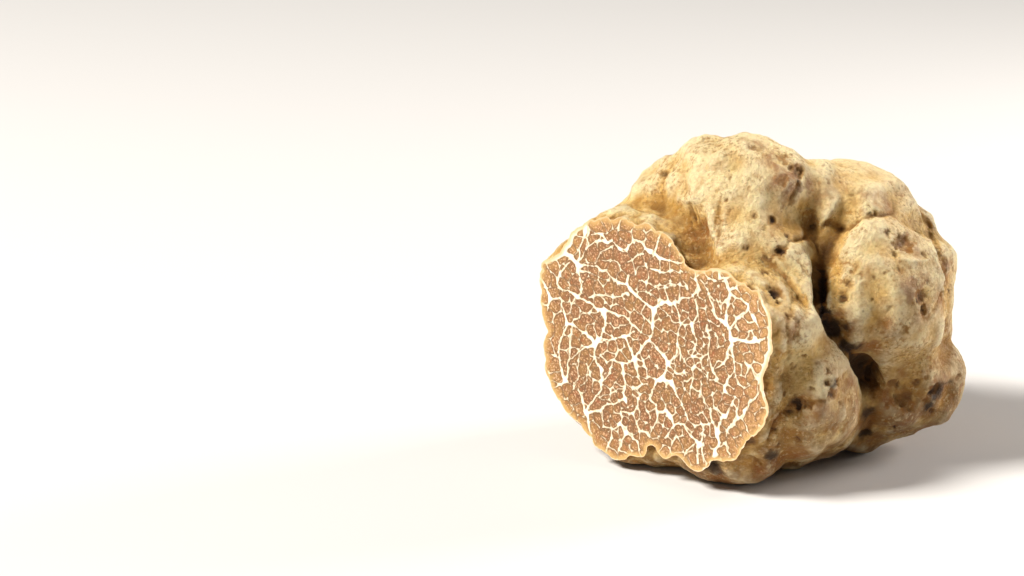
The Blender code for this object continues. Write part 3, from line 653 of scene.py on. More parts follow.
# Veins: half width at one end and the other, then the points each runs through.
VEINS = [
    (0.25, 0.12, [(-0.5, 13.0), (1.6, 12.8), (3.6, 13.2), (6.3, 13.8)]),
    (0.15, 0.2, [(-3.3, 10.6), (-1.0, 10.4), (0.3, 10.2), (1.2, 9.8), (3.0, 10.3), (4.8, 11.0)]),
    (0.15, 0.1, [(0.3, 10.2), (-1.2, 9.3), (-1.8, 8.2)]),
    (0.15, 0.1, [(2.3, 11.3), (4.0, 11.6)]),
    (0.2, 0.25, [(6.2, 12.4), (7.2, 11.0)]),
    (0.15, 0.25, [(-12.6, 13.0), (-10.2, 13.3)]),
    (0.2, 0.3, [(-15.0, 17.1), (-13.4, 17.5), (-11.7, 16.9)]),
    (0.2, 0.1, [(-6.4, 9.6), (-6.2, 11.6)]),
    (0.5, 0.6, [(-18.3, 11.2), (-19.8, 12.2), (-22.0, 13.3)]),
    (0.3, 0.45, [(-18.1, 12.0), (-17.7, 14.5), (-16.3, 18.5)]),
    (0.25, 0.2, [(-17.6, 12.2), (-16.0, 14.5), (-15.6, 18.5)]),
    (0.25, 0.35, [(-15.8, 14.5), (-13.6, 15.8), (-10.2, 16.9)]),
    (0.25, 0.25, [(-10.2, 16.9), (-8.4, 15.5), (-6.8, 15.9), (-5.5, 17.6)]),
    (0.25, 0.3, [(-5.5, 17.6), (-3.6, 17.6), (-1.2, 16.3)]),
    (0.2, 0.15, [(-5.5, 17.6), (-5.7, 19.2), (-4.9, 21.0)]),
    (0.3, 0.25, [(-0.2, 16.8), (0.6, 18.6), (1.6, 22.0)]),
    (0.25, 0.1, [(-2.6, 15.7), (-4.4, 14.5), (-6.3, 13.5)]),
    (0.35, 0.25, [(-0.1, 16.1), (1.8, 15.3), (5.0, 14.9), (7.0, 15.8), (9.3, 14.9)]),
    (0.25, 0.3, [(-17.4, 11.1), (-13.8, 11.1), (-10.6, 10.2), (-8.3, 9.1)]),
    (0.25, 0.1, [(-17.6, 10.1), (-15.6, 9.5), (-13.2, 9.2), (-10.4, 9.3)]),
    (0.25, 0.25, [(-18.1, 10.0), (-17.5, 8.5), (-16.9, 6.9), (-17.7, 5.3)]),
    (0.25, 0.35, [(-20.0, 11.2), (-22.2, 9.2), (-23.2, 6.9), (-22.0, 5.6), (-17.9, 5.0)]),
    (0.4, 0.4, [(-17.9, 5.0), (-15.5, 4.7), (-13.3, 3.6), (-11.7, 3.5)]),
    (0.2, 0.15, [(-13.1, 3.3), (-15.9, 2.2), (-18.1, 0.7), (-19.0, -0.2)]),
    (0.35, 0.2, [(-20.7, -0.1), (-21.5, 1.6), (-22.3, 2.8)]),
    (0.25, 0.15, [(-18.6, 4.5), (-19.6, 2.7)]),
    (0.35, 0.3, [(-20.7, -0.3), (-18.3, -0.8), (-15.9, -1.1), (-14.1, -3.1)]),
    (0.4, 0.4, [(-11.7, 3.5), (-11.1, 1.4), (-12.5, -1.5), (-14.1, -3.1)]),
    (0.25, 0.3, [(-11.4, 3.6), (-8.8, 3.3), (-6.0, 3.2), (-3.6, 1.5)]),
    (0.3, 0.3, [(-14.1, -3.1), (-11.5, -1.8), (-8.7, -1.1), (-6.6, -0.4), (-4.5, 1.1)]),
    (0.3, 0.3, [(-6.6, -0.4), (-5.4, -2.0), (-4.4, -3.9)]),
    (0.3, 0.4, [(-8.3, 9.1), (-6.4, 9.6), (-5.4, 8.5), (-3.1, 7.1), (0.2, 5.8)]),
    (0.25, 0.15, [(-5.9, 7.7), (-9.6, 6.7), (-12.7, 5.9), (-15.5, 5.5)]),
    (0.2, 0.15, [(-9.6, 6.7), (-9.8, 4.0)]),
    (0.4, 0.35, [(0.2, 5.8), (-0.6, 2.7), (-0.8, 0.1), (-2.5, -2.0), (-4.4, -3.9)]),
    (0.35, 0.2, [(0.2, 5.8), (1.8, 7.3), (4.7, 7.9), (6.5, 9.1), (9.0, 10.4), (9.6, 11.8)]),
    (0.3, 0.25, [(4.8, 7.7), (5.7, 6.0), (6.2, 4.1), (5.6, 1.3), (6.0, -1.9)]),
    (0.25, 0.3, [(-0.8, 0.1), (1.1, -1.4), (3.3, -3.3)]),
    (0.35, 0.3, [(-27.0, 6.9), (-25.2, 4.7), (-24.5, 3.3), (-25.2, 1.3)]),
    (0.25, 0.35, [(-20.7, -0.9), (-21.6, -3.3), (-22.1, -5.7), (-21.8, -8.7), (-21.0, -11.3)]),
    (0.2, 0.3, [(-19.5, -1.4), (-19.6, -5.2), (-20.0, -8.7), (-21.0, -11.3)]),
    (0.3, 0.2, [(-20.5, -11.4), (-22.2, -12.2), (-24.1, -13.3)]),
    (0.15, 0.15, [(-21.8, -6.8), (-24.3, -6.8)]),
    (0.3, 0.2, [(-14.1, -3.1), (-16.7, -4.7), (-19.4, -6.5)]),
    (0.2, 0.25, [(-17.2, -5.3), (-17.9, -8.3), (-17.6, -10.3), (-18.5, -12.0)]),
    (0.25, 0.25, [(-14.1, -3.1), (-13.8, -5.6), (-12.1, -7.2)]),
    (0.2, 0.15, [(-13.8, -5.8), (-15.2, -7.8), (-15.4, -9.9), (-16.6, -11.4)]),
    (0.3, 0.35, [(-12.1, -7.2), (-11.8, -9.4), (-12.2, -11.5), (-14.1, -14.2), (-15.5, -16.2)]),
    (0.25, 0.1, [(-11.8, -9.4), (-9.7, -7.7), (-9.0, -6.2)]),
    (0.2, 0.3, [(-12.4, -4.8), (-10.5, -5.9), (-8.6, -5.2), (-6.7, -5.4)]),
    (0.25, 0.3, [(-6.7, -5.4), (-4.4, -3.9)]),
    (0.3, 0.3, [(-6.7, -5.8), (-6.4, -8.3), (-6.8, -10.6), (-6.0, -12.0)]),
    (0.2, 0.2, [(-12.2, -12.7), (-9.6, -11.2), (-6.8, -9.7)]),
    (0.35, 0.2, [(-15.5, -16.2), (-16.3, -14.0), (-17.3, -12.0)]),
    (0.35, 0.2, [(-15.5, -16.2), (-12.1, -15.5), (-10.5, -13.6), (-6.3, -11.9)]),
    (0.4, 0.4, [(-15.5, -16.2), (-14.9, -18.9), (-14.2, -20.1)]),
    (0.2, 0.25, [(-11.6, -15.4), (-11.3, -18.1), (-9.2, -18.1), (-7.5, -16.8), (-7.1, -14.5),
                 (-4.3, -14.5)]),
    (0.25, 0.3, [(-9.2, -18.1), (-9.4, -20.2), (-10.3, -22.3)]),
    (0.25, 0.2, [(-7.5, -16.8), (-6.1, -18.0), (-7.0, -20.3), (-7.4, -22.8)]),
    (0.25, 0.2, [(-6.1, -18.0), (-3.0, -19.1), (-2.4, -21.7)]),
    (0.25, 0.2, [(-4.3, -14.5), (-3.2, -12.7), (-2.8, -10.6), (-4.4, -9.3), (-2.4, -8.5)]),
    (0.2, 0.25, [(-4.3, -14.5), (-3.1, -16.4), (-0.2, -17.7)]),
    (0.25, 0.3, [(-4.4, -3.9), (-2.0, -4.3), (-1.0, -6.7), (2.0, -6.9)]),
    (0.15, 0.15, [(-4.4, -3.9), (-3.4, -5.9), (-2.8, -8.4)]),
    (0.25, 0.3, [(3.3, -3.3), (2.7, -5.7), (2.0, -6.9)]),
    (0.25, 0.2, [(3.3, -3.3), (5.3, -1.1), (5.7, 0.8)]),
    (0.4, 0.3, [(2.0, -6.9), (4.5, -6.8), (5.5, -8.8), (7.2, -10.8), (8.4, -12.8)]),
    (0.2, 0.2, [(3.5, -3.5), (5.4, -4.8), (7.0, -4.1), (7.9, -5.0)]),
    (0.35, 0.25, [(1.1, -7.3), (0.0, -9.3), (-0.4, -10.9), (1.0, -11.5), (1.3, -13.1),
                  (0.2, -16.3), (-0.2, -17.9)]),
    (0.3, 0.3, [(1.3, -13.1), (3.3, -12.2), (4.5, -13.2), (5.5, -14.7), (7.3, -13.9)]),
    (0.25, 0.2, [(5.3, -14.9), (3.7, -16.7), (4.9, -18.1), (5.8, -16.7)]),
    (0.3, 0.3, [(7.5, -13.9), (9.0, -15.6), (11.0, -16.7)]),
    (0.3, 0.2, [(11.5, -15.8), (11.8, -13.9), (11.3, -12.4)]),
    (0.25, 0.25, [(10.6, -17.1), (10.9, -20.2)]),
    (0.25, 0.25, [(11.7, -16.9), (12.3, -19.7)]),
    (0.25, 0.3, [(9.5, -17.0), (8.1, -18.4), (7.5, -20.0)]),
    (0.3, 0.2, [(15.0, -14.0), (13.6, -11.7), (13.5, -9.6)]),
    (0.3, 0.25, [(15.0, -14.0), (15.6, -11.5), (16.6, -10.0), (17.7, -8.2)]),
    (0.35, 0.45, [(15.0, -14.0), (15.1, -16.0), (14.7, -18.3)]),
    (0.2, 0.25, [(15.1, -16.2), (17.1, -15.6), (18.2, -17.2)]),
    (0.25, 0.2, [(9.5, 15.0), (9.5, 12.8), (10.1, 11.1), (9.4, 9.2), (9.8, 6.8), (8.7, 4.8)]),
    (0.2, 0.25, [(10.8, 16.3), (11.1, 14.2), (12.4, 13.3), (14.0, 13.4)]),
    (0.2, 0.2, [(10.7, 12.7), (12.0, 11.6), (13.2, 10.4)]),
    (0.25, 0.2, [(8.7, 4.8), (9.2, 3.4), (9.9, 2.3), (9.3, 0.5), (8.7, -1.2)]),
    (0.3, 0.25, [(13.9, 16.8), (14.6, 14.0), (16.4, 14.3), (18.3, 15.2), (18.4, 12.9),
                 (16.7, 12.4)]),
    (0.25, 0.25, [(16.0, 13.9), (16.7, 11.4), (19.4, 10.9), (20.7, 10.3)]),
    (0.35, 0.25, [(16.0, 6.4), (16.6, 9.0), (16.7, 11.2)]),
    (0.35, 0.25, [(16.0, 6.4), (13.6, 6.9), (13.3, 9.2), (12.3, 11.0)]),
    (0.2, 0.2, [(16.7, 10.8), (15.0, 8.9), (14.1, 10.4)]),
    (0.4, 0.45, [(16.0, 6.4), (17.4, 4.7), (17.9, 3.4)]),
    (0.45, 0.35, [(17.9, 3.4), (20.3, 3.8), (22.3, 4.2), (24.8, 4.8)]),
    (0.25, 0.3, [(17.4, 5.6), (19.1, 7.7), (20.9, 9.8)]),
    (0.25, 0.2, [(22.3, 4.2), (21.3, 5.8)]),
    (0.25, 0.3, [(20.9, 9.8), (22.1, 8.4), (23.0, 7.0)]),
    (0.35, 0.25, [(17.9, 2.7), (18.0, 0.5), (18.5, -1.7), (19.3, -4.1)]),
    (0.35, 0.25, [(17.7, 2.1), (16.7, 0.1), (14.3, -2.0)]),
    (0.25, 0.25, [(11.8, 5.1), (12.6, 2.6), (12.7, 0.4), (13.7, -2.3), (14.9, -4.2)]),
    (0.15, 0.15, [(12.8, 3.7), (14.1, 3.4), (14.4, 1.7)]),
    (0.2, 0.25, [(7.1, -2.1), (8.7, -1.2), (10.7, -1.2), (12.5, 0.2)]),
    (0.2, 0.2, [(8.7, -1.2), (9.4, -3.3), (11.0, -3.1), (12.4, -4.0), (12.7, -5.4)]),
    (0.25, 0.2, [(9.4, -3.6), (9.3, -6.8), (11.1, -6.9), (11.9, -8.8), (13.0, -9.7)]),
    (0.25, 0.3, [(18.5, -1.4), (16.8, -3.8), (16.3, -6.1)]),
    (0.2, 0.25, [(13.7, -7.9), (14.1, -9.1), (16.4, -9.7)]),
    (0.2, 0.2, [(19.3, -4.1), (20.8, -4.5), (22.1, -3.4)]),
    (0.2, 0.2, [(20.7, 0.1), (22.5, -1.1), (23.8, -3.0), (23.7, -4.8)]),
    (0.2, 0.25, [(23.7, -4.8), (22.2, -6.4), (20.8, -8.8), (19.5, -10.5), (17.8, -12.5),
                 (17.0, -14.1)]),
    (0.2, 0.2, [(17.9, -7.6), (19.0, -9.0), (19.5, -10.5)]),
]


# A knot's own disc is this share of its radius. The veins flare by this much, dying away over
# this distance, to reach the rest. The webs are the rounding where veins meet, all in mm.
KNOT_SHARE = 0.62
FLARE = 0.2
FLARE_FADE = 0.9
KNOT_WEB = 0.5
VEIN_WEB = 0.35
# A listed half width is drawn this much thinner: a share of it, less a little.
THINNED = 0.52
SHAVED = 0.02
FAR = 9.0


def soft_min(a, b, rounding):
    """The smaller of two distances, with the corner between them filled in like a web."""
    mix = np.clip(0.5 + 0.5 * (b - a) / rounding, 0, 1)
    return b + (a - b) * mix - rounding * mix * (1 - mix)


def gentle_noise(spots, size, seed):
    """Smooth noise, about -1 to 1, for rows of in-plane points in mm."""
    out = np.empty(len(spots))
    for k, (s, w) in enumerate(spots):
        out[k] = noise.noise(Vector((s / size, w / size, seed)))
    return out


def to_segments(spots, a, b):
    """Distance of points from the segment a-b, and how far along it the nearest place lies."""
    run = b - a
    t = np.clip(((spots - a) @ run) / (run @ run), 0, 1)
    return np.linalg.norm(spots - a - t[:, None] * run, axis=1), t


def main_veins(spots):
    """The net of laid veins, and how close the nearest knot is (1 at its edge, 0 far off)."""
    field = np.full(len(spots), FAR)
    for s, w, radius in KNOTS:
        off = np.hypot(spots[:, 0] - s, spots[:, 1] - w)
        field = soft_min(field, off - KNOT_SHARE * radius, KNOT_WEB)
    near_knot = np.exp(-np.clip(field, 0, FAR) / FLARE_FADE)
    for start, end, marks in VEINS:
        marks = np.array(marks)
        legs = len(marks) - 1
        for k in range(legs):
            away, t = to_segments(spots, marks[k], marks[k + 1])
            half_width = THINNED * (start + (end - start) * (k + t) / legs) - SHAVED
            field = soft_min(field, away - half_width - FLARE * near_knot, VEIN_WEB)
    return field, near_knot


def hill(s, w, middle, reach):
    """1 at the middle of a patch of the cut, falling away over its reach right and up."""
    return np.exp(-(((s - middle[0]) / reach[0]) ** 2 + ((w - middle[1]) / reach[1]) ** 2))


# Cells lie this far apart in mm, and by this much less or more where they are close or open.
EVEN_SPACING = 2.0
CLOSER = 0.75
WIDER = 0.7


def cell_spacing(s, w):
    """How far apart cells lie: close right of the middle and below it, open above and left."""
    tight = hill(s, w, (11.5, -1), (6.5, 15))
    low_tight = hill(s, w, (-2, -15), (7, 7))
    small = hill(s, w, (-6, 3), (3, 3))
    open_top = hill(s, w, (-4, 11), (9, 4))
    open_left = 1 / (1 + math.exp((s + 9) / 1.5))
    return EVEN_SPACING - CLOSER * max(tight, low_tight, small) + WIDER * max(open_top, open_left)


# Cells keep this share of the spacing apart, beside a laid vein and between the veins. They
# stand a little taller than wide, and are tried at this many places. Pairs begin this far along
# a vein. The least distance off it and the least step to the next pair come with how much chance
# may add, all in mm.
BESIDE_VEIN = 0.62
BETWEEN_VEINS = 0.92
TALL = 0.8
TRIES = 9000
FIRST_PAIR = 0.5
OFF_VEIN = (0.75, 0.5)
ALONG_VEIN = (1.2, 1.6)


def cell_middles(rng, outline_box):
    """Middles of the flesh cells: in pairs astride each vein, then strewn evenly between."""
    middles = []

    def by_chance(least, more):
        return least + more * rng.random()

    def try_middle(s, w, share):
        spacing = share * cell_spacing(s, w)
        if all((s - a) ** 2 + TALL * (w - b) ** 2 > spacing ** 2 for a, b in middles):
            middles.append((s, w))

    for _, _, marks in VEINS:
        marks = np.array(marks)
        for a, b in zip(marks, marks[1:]):
            run = b - a
            length = np.hypot(*run)
            side = np.array((-run[1], run[0])) / length
            rng.random()  # one draw is passed over, so that the later ones fall as they do
            gone = 0.0
            while gone < length:
                gap = by_chance(*OFF_VEIN)
                spot = a + run * (gone + FIRST_PAIR) / length
                for sign in (-1, 1):
                    try_middle(*(spot + side * gap * sign), BESIDE_VEIN)
                gone += by_chance(*ALONG_VEIN)
    low, high = outline_box
    for _ in range(TRIES):
        try_middle(*(low + (high - low) * rng.random(2)), BETWEEN_VEINS)
    return np.array(middles)


# A fine vein's half width in mm is this much by luck, less a little, and less again where it
# fades, in patches of this size. A share of the borders carry none: their half width is below 0.
BY_LUCK = 0.16
LESS = 0.04
FADED = 0.12
FADED_SIZE = 1.7
BARE_SHARE = 0.1
BARE = -0.5
CELL_WEB = 0.45
NEIGHBOURS = 7
BATCH = 6000


def fine_veins(spots, middles, rng):
    """Veins along the borders of the cells, of a different thickness on every border."""
    chance = rng.random((len(middles), len(middles)))
    chance = np.triu(chance) + np.triu(chance, 1).T
    fading = gentle_noise(spots, FADED_SIZE, 33.0)
    field = np.empty(len(spots))
    for first in range(0, len(spots), BATCH):
        part = spots[first:first + BATCH]
        square = ((part[:, None, :] - middles[None]) ** 2).sum(axis=2)
        order = np.argpartition(square, NEIGHBOURS, axis=1)[:, :NEIGHBOURS]
        close = np.take_along_axis(square, order, axis=1)
        rank = np.argsort(close, axis=1)
        order = np.take_along_axis(order, rank, axis=1)
        close = np.take_along_axis(close, rank, axis=1)
        own = order[:, 0]
        best = np.full(len(part), FAR)
        for k in range(1, NEIGHBOURS):
            other = order[:, k]
            apart = np.linalg.norm(middles[own] - middles[other], axis=1)
            border = (close[:, k] - close[:, 0]) / (2 * apart)
            luck = chance[own, other]
            half_width = np.where(luck < BARE_SHARE, BARE, BY_LUCK * luck - LESS)
            best = soft_min(best, border - half_width, CELL_WEB)
        field[first:first + BATCH] = best
    return field + FADED * np.clip(fading, 0, 1)


SEED_APART = 40


def warped(spots, size, reach, seed):
    """In-plane points pushed about, right and up apart, by noise of this size and reach in mm."""
    push = [gentle_noise(spots, size, own) for own in (seed, seed + SEED_APART)]
    return spots + reach * np.stack(push, 1)


# How near the plane a point is taken as on it, and how near two rim points become one.
ON_KNIFE = 1e-7
RIM_MERGE = 0.06 * MM


def slice_truffle():
    """The truffle without what lies past the cut, and the open edges that the knife leaves."""
    bm = bmesh.new()
    bm.from_mesh(truffle.data)
    bm.verts.layers.float.new("vein")
    bm.verts.layers.float.new("rim")
    bmesh.ops.bisect_plane(bm, geom=bm.verts[:] + bm.edges[:] + bm.faces[:], dist=ON_KNIFE,
                           plane_co=CUT_MIDDLE, plane_no=CUT_AXIS, clear_outer=True)
    rim = {v for e in bm.edges if e.is_boundary for v in e.verts}
    bmesh.ops.remove_doubles(bm, verts=list(rim), dist=RIM_MERGE)
    return bm, [e for e in bm.edges if e.is_boundary]


def flat(point):
    """A point of the cut as mm right and up of its middle."""
    off = point - CUT_MIDDLE
    return off.dot(ACROSS) / MM, off.dot(UPWARD) / MM


bm, rim_edges = slice_truffle()
rim_verts = list(dict.fromkeys(v for e in rim_edges for v in e.verts))
rim_number = {v: k for k, v in enumerate(rim_verts)}
rim_spots = np.array([flat(v.co) for v in rim_verts])
rim_pairs = [(rim_number[e.verts[0]], rim_number[e.verts[1]]) for e in rim_edges]

# The face is meshed on a grid of triangles, in mm, that stops just short of the rim. Farther
# than this from the edge of a vein only its coarse points are kept, two steps apart.
GRID = 0.185
GRID_MARGIN = 1.0
RIM_GAP = 0.55 * GRID
NEAR_EDGE = 0.14
low, high = rim_spots.min(axis=0) - GRID_MARGIN, rim_spots.max(axis=0) + GRID_MARGIN
rows = np.arange(low[1], high[1], GRID * math.sqrt(3) / 2)
columns = np.arange(low[0], high[0], GRID)
grid = np.array([
    (s + GRID / 2 * (j % 2), w) for j, w in enumerate(rows) for s in columns
])
coarse = np.array([
    (j % 2 == 0) and (i % 2 == (j // 2) % 2) for j in range(len(rows)) for i in range(len(columns))
])


def from_rim(spots):
    """Distance of points from the rim, and whether each lies inside it."""
    away = np.full(len(spots), np.inf)
    inside = np.zeros(len(spots), bool)
    for p, q in rim_pairs:
        a, b = rim_spots[p], rim_spots[q]
        away = np.minimum(away, to_segments(spots, a, b)[0])
        crosses = (a[1] > spots[:, 1]) != (b[1] > spots[:, 1])
        if a[1] != b[1]:
            level = a[0] + (spots[:, 1] - a[1]) * (b[0] - a[0]) / (b[1] - a[1])
            inside ^= crosses & (spots[:, 0] < level)
    return away, inside


def rim_band(spots):
    """Thickness in mm of the pale layer under the skin: most at the upper left and the right."""
    s, w = spots[:, 0], spots[:, 1]
    upper_left = hill(s, w, (-22, 15), (7, 6))
    right = hill(s, w, (26, 2), (4, 12))
    top = hill(s, w, (17, 17), (6, 3))
    return (0.14 + 1.0 * upper_left + 0.9 * right + 0.6 * top
            + 0.2 * gentle_noise(spots, 3.0, 5.0) + 0.12 * gentle_noise(spots, 1.1, 9.0))


away, inside = from_rim(grid)
keep = inside & (away > RIM_GAP)
grid, coarse, away = grid[keep], coarse[keep], away[keep]
CELL_SEED = 11
BORDER_SEED = 12
middles = cell_middles(np.random.default_rng(CELL_SEED), (low, high))
# The net is bent by noise of three sizes: size and reach in mm, and seed. Fine veins swell a
# little near a knot, and every vein's edge is uneven by this much over this length.
BENDS = [(4.0, 0.7, 2.0), (1.5, 0.4, 3.0), (0.6, 0.12, 4.0)]
SWELL = 0.05
UNEVEN = 0.05
UNEVEN_SIZE = 0.7
FINE_WEB = 0.3
RIM_WEB = 0.4


def vein_field(spots, away):
    """How far each point is from the edge of a vein in mm, below 0 inside one."""
    bent = spots
    for size, reach, seed in BENDS:
        bent = warped(bent, size, reach, seed)
    field, near_knot = main_veins(bent)
    fine = fine_veins(bent, middles, np.random.default_rng(BORDER_SEED)) - SWELL * near_knot
    field = soft_min(field, fine, FINE_WEB)
    field = soft_min(field, away - rim_band(spots), RIM_WEB)
    return field + UNEVEN * gentle_noise(spots, UNEVEN_SIZE, 21.0)


field = vein_field(grid, away)
keep = coarse | (np.abs(field) < NEAR_EDGE)
grid, field, away = grid[keep], field[keep], away[keep]

# Triangles inside the rim, joined to its own points.
INSIDE_ONLY = 1
SAME_POINT = 1e-6
coords = [Vector(p) for p in rim_spots] + [Vector(p) for p in grid]
flat_points, _, triangles, origins = delaunay_2d_cdt(
    coords, rim_pairs, [], INSIDE_ONLY, SAME_POINT)[:4]
vein_layer = bm.verts.layers.float["vein"]
depth_layer = bm.verts.layers.float["rim"]
# The flesh sinks this much between the veins, over this slope in mm, and not at the very rim,
# whose own points count as well inside a vein.
RELIEF = 0.05 * MM
SLOPE = 0.3
LEVEL_RIM = 0.5
ALL_VEIN = -0.3
verts = []
for point, origin in zip(flat_points, origins):
    first = origin[0] if origin else -1
    if 0 <= first < len(rim_verts):
        vert = rim_verts[first]
        vert[vein_layer] = ALL_VEIN
    else:
        k = first - len(rim_verts)
        value = field[k] if first >= 0 else ALL_VEIN
        deep = away[k] if first >= 0 else 0.0
        sunk = RELIEF * min(1.0, max(0.0, 0.5 + value / SLOPE)) * min(1.0, deep / LEVEL_RIM)
        place = CUT_MIDDLE + ACROSS * (point.x * MM) + UPWARD * (point.y * MM) - CUT_AXIS * sunk
        vert = bm.verts.new(place)
        vert[vein_layer] = value
        vert[depth_layer] = deep
    verts.append(vert)
for a, b, c in triangles:
    try:
        face = bm.faces.new((verts[a], verts[b], verts[c]))
    except ValueError:
        continue
    face.normal_update()
    if face.normal.dot(CUT_AXIS) < 0:
        face.normal_flip()
    face.material_index = 1
    face.smooth = True
for edge in rim_edges:
    if edge.is_valid:
        edge.smooth = False
for vert in bm.verts:
    vert.co.z = max(vert.co.z, 0.0)
mesh = bpy.data.meshes.new("truffle")
bm.to_mesh(mesh)
bm.free()
truffle.data = mesh
mesh.materials.append(skin)
mesh.materials.append(flesh)
for piece in guides:
    bpy.data.objects.remove(piece)

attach(truffle, "root")
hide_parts("white_truffle")


# The skin is cream with painted highlight on its swellings and top, and painted shade from ochre
# to black in its hollows, folds and clefts; its pits are brown to black. The flesh is brown with
# white veins, paler towards the skin.

def colour(red, green, blue):
    """An sRGB colour, 0 to 255, as the linear value that a socket takes."""
    def linear(value):
        value /= 255
        return value / 12.92 if value < 0.04045 else ((value + 0.055) / 1.055) ** 2.4
    return linear(red), linear(green), linear(blue), 1.0


def patches_group():
    """Soft-edged patches of noise. Size is in mm. A patch starts at Low and is full at High."""
    group = bpy.data.node_groups.new("patches", "ShaderNodeTree")
    group.interface.new_socket("Where", in_out="INPUT", socket_type="NodeSocketVector")
    for label in ("Size", "Detail", "Low", "High", "Shift"):
        group.interface.new_socket(label, in_out="INPUT", socket_type="NodeSocketFloat")
    group.interface.new_socket("Mask", in_out="OUTPUT", socket_type="NodeSocketFloat")
    given = {s.name: s for s in group.nodes.new("NodeGroupInput").outputs}
    moved = vec(group, "ADD", given["Where"], add(
        group, "ShaderNodeCombineXYZ", given["Shift"], given["Shift"], given["Shift"])[0])
    scaled = vec(group, "SCALE", moved, calc(group, "DIVIDE", 1.0, given["Size"]))
    cloud = add(group, "ShaderNodeTexNoise", scaled, 1.0, given["Detail"])[0]
    mask = add(group, "ShaderNodeMapRange", cloud, given["Low"], given["High"],
               interpolation_type="SMOOTHSTEP")[0]
    group.links.new(mask, group.nodes.new("NodeGroupOutput").inputs[0])
    return group


patches = patches_group()


def start_material(material):
    """A material's tree and shader, places on the piece in mm, and a maker of patches there."""
    material.use_nodes = True
    tree = material.node_tree
    shader = next(node for node in tree.nodes if node.type == "BSDF_PRINCIPLED")
    where = vec(tree, "SCALE", tree.nodes.new("ShaderNodeTexCoord").outputs["Object"], 1 / MM)

    def patch(size, low, high, shift, detail=3.0):
        made = tree.nodes.new("ShaderNodeGroup")
        made.node_tree = patches
        tree.links.new(where, made.inputs["Where"])
        for label, value in (("Size", size), ("Low", low), ("High", high), ("Shift", shift),
                             ("Detail", detail)):
            made.inputs[label].default_value = value
        return made.outputs["Mask"]

    return tree, shader, where, patch


def mixed(tree, share, first, second):
    """The first colour going over to the second as the share goes from 0 to 1."""
    return add(tree, "ShaderNodeMix", share, first, second, data_type="RGBA")[0]


def painted(tree, base, coats):
    """The base with coats laid on it in turn: where, how strong, and the colour."""
    for share, strength, shade in coats:
        base = mixed(tree, times(tree, share, strength), base, colour(*shade))
    return base


def attribute(tree, label):
    return add(tree, "ShaderNodeAttribute", attribute_name=label)[2]


def ramped(tree, value, low, high, start=0.0, end=1.0):
    """A value eased from start to end as it goes from low to high."""
    return add(tree, "ShaderNodeMapRange", value, low, high, start, end,
               interpolation_type="SMOOTHSTEP")[0]


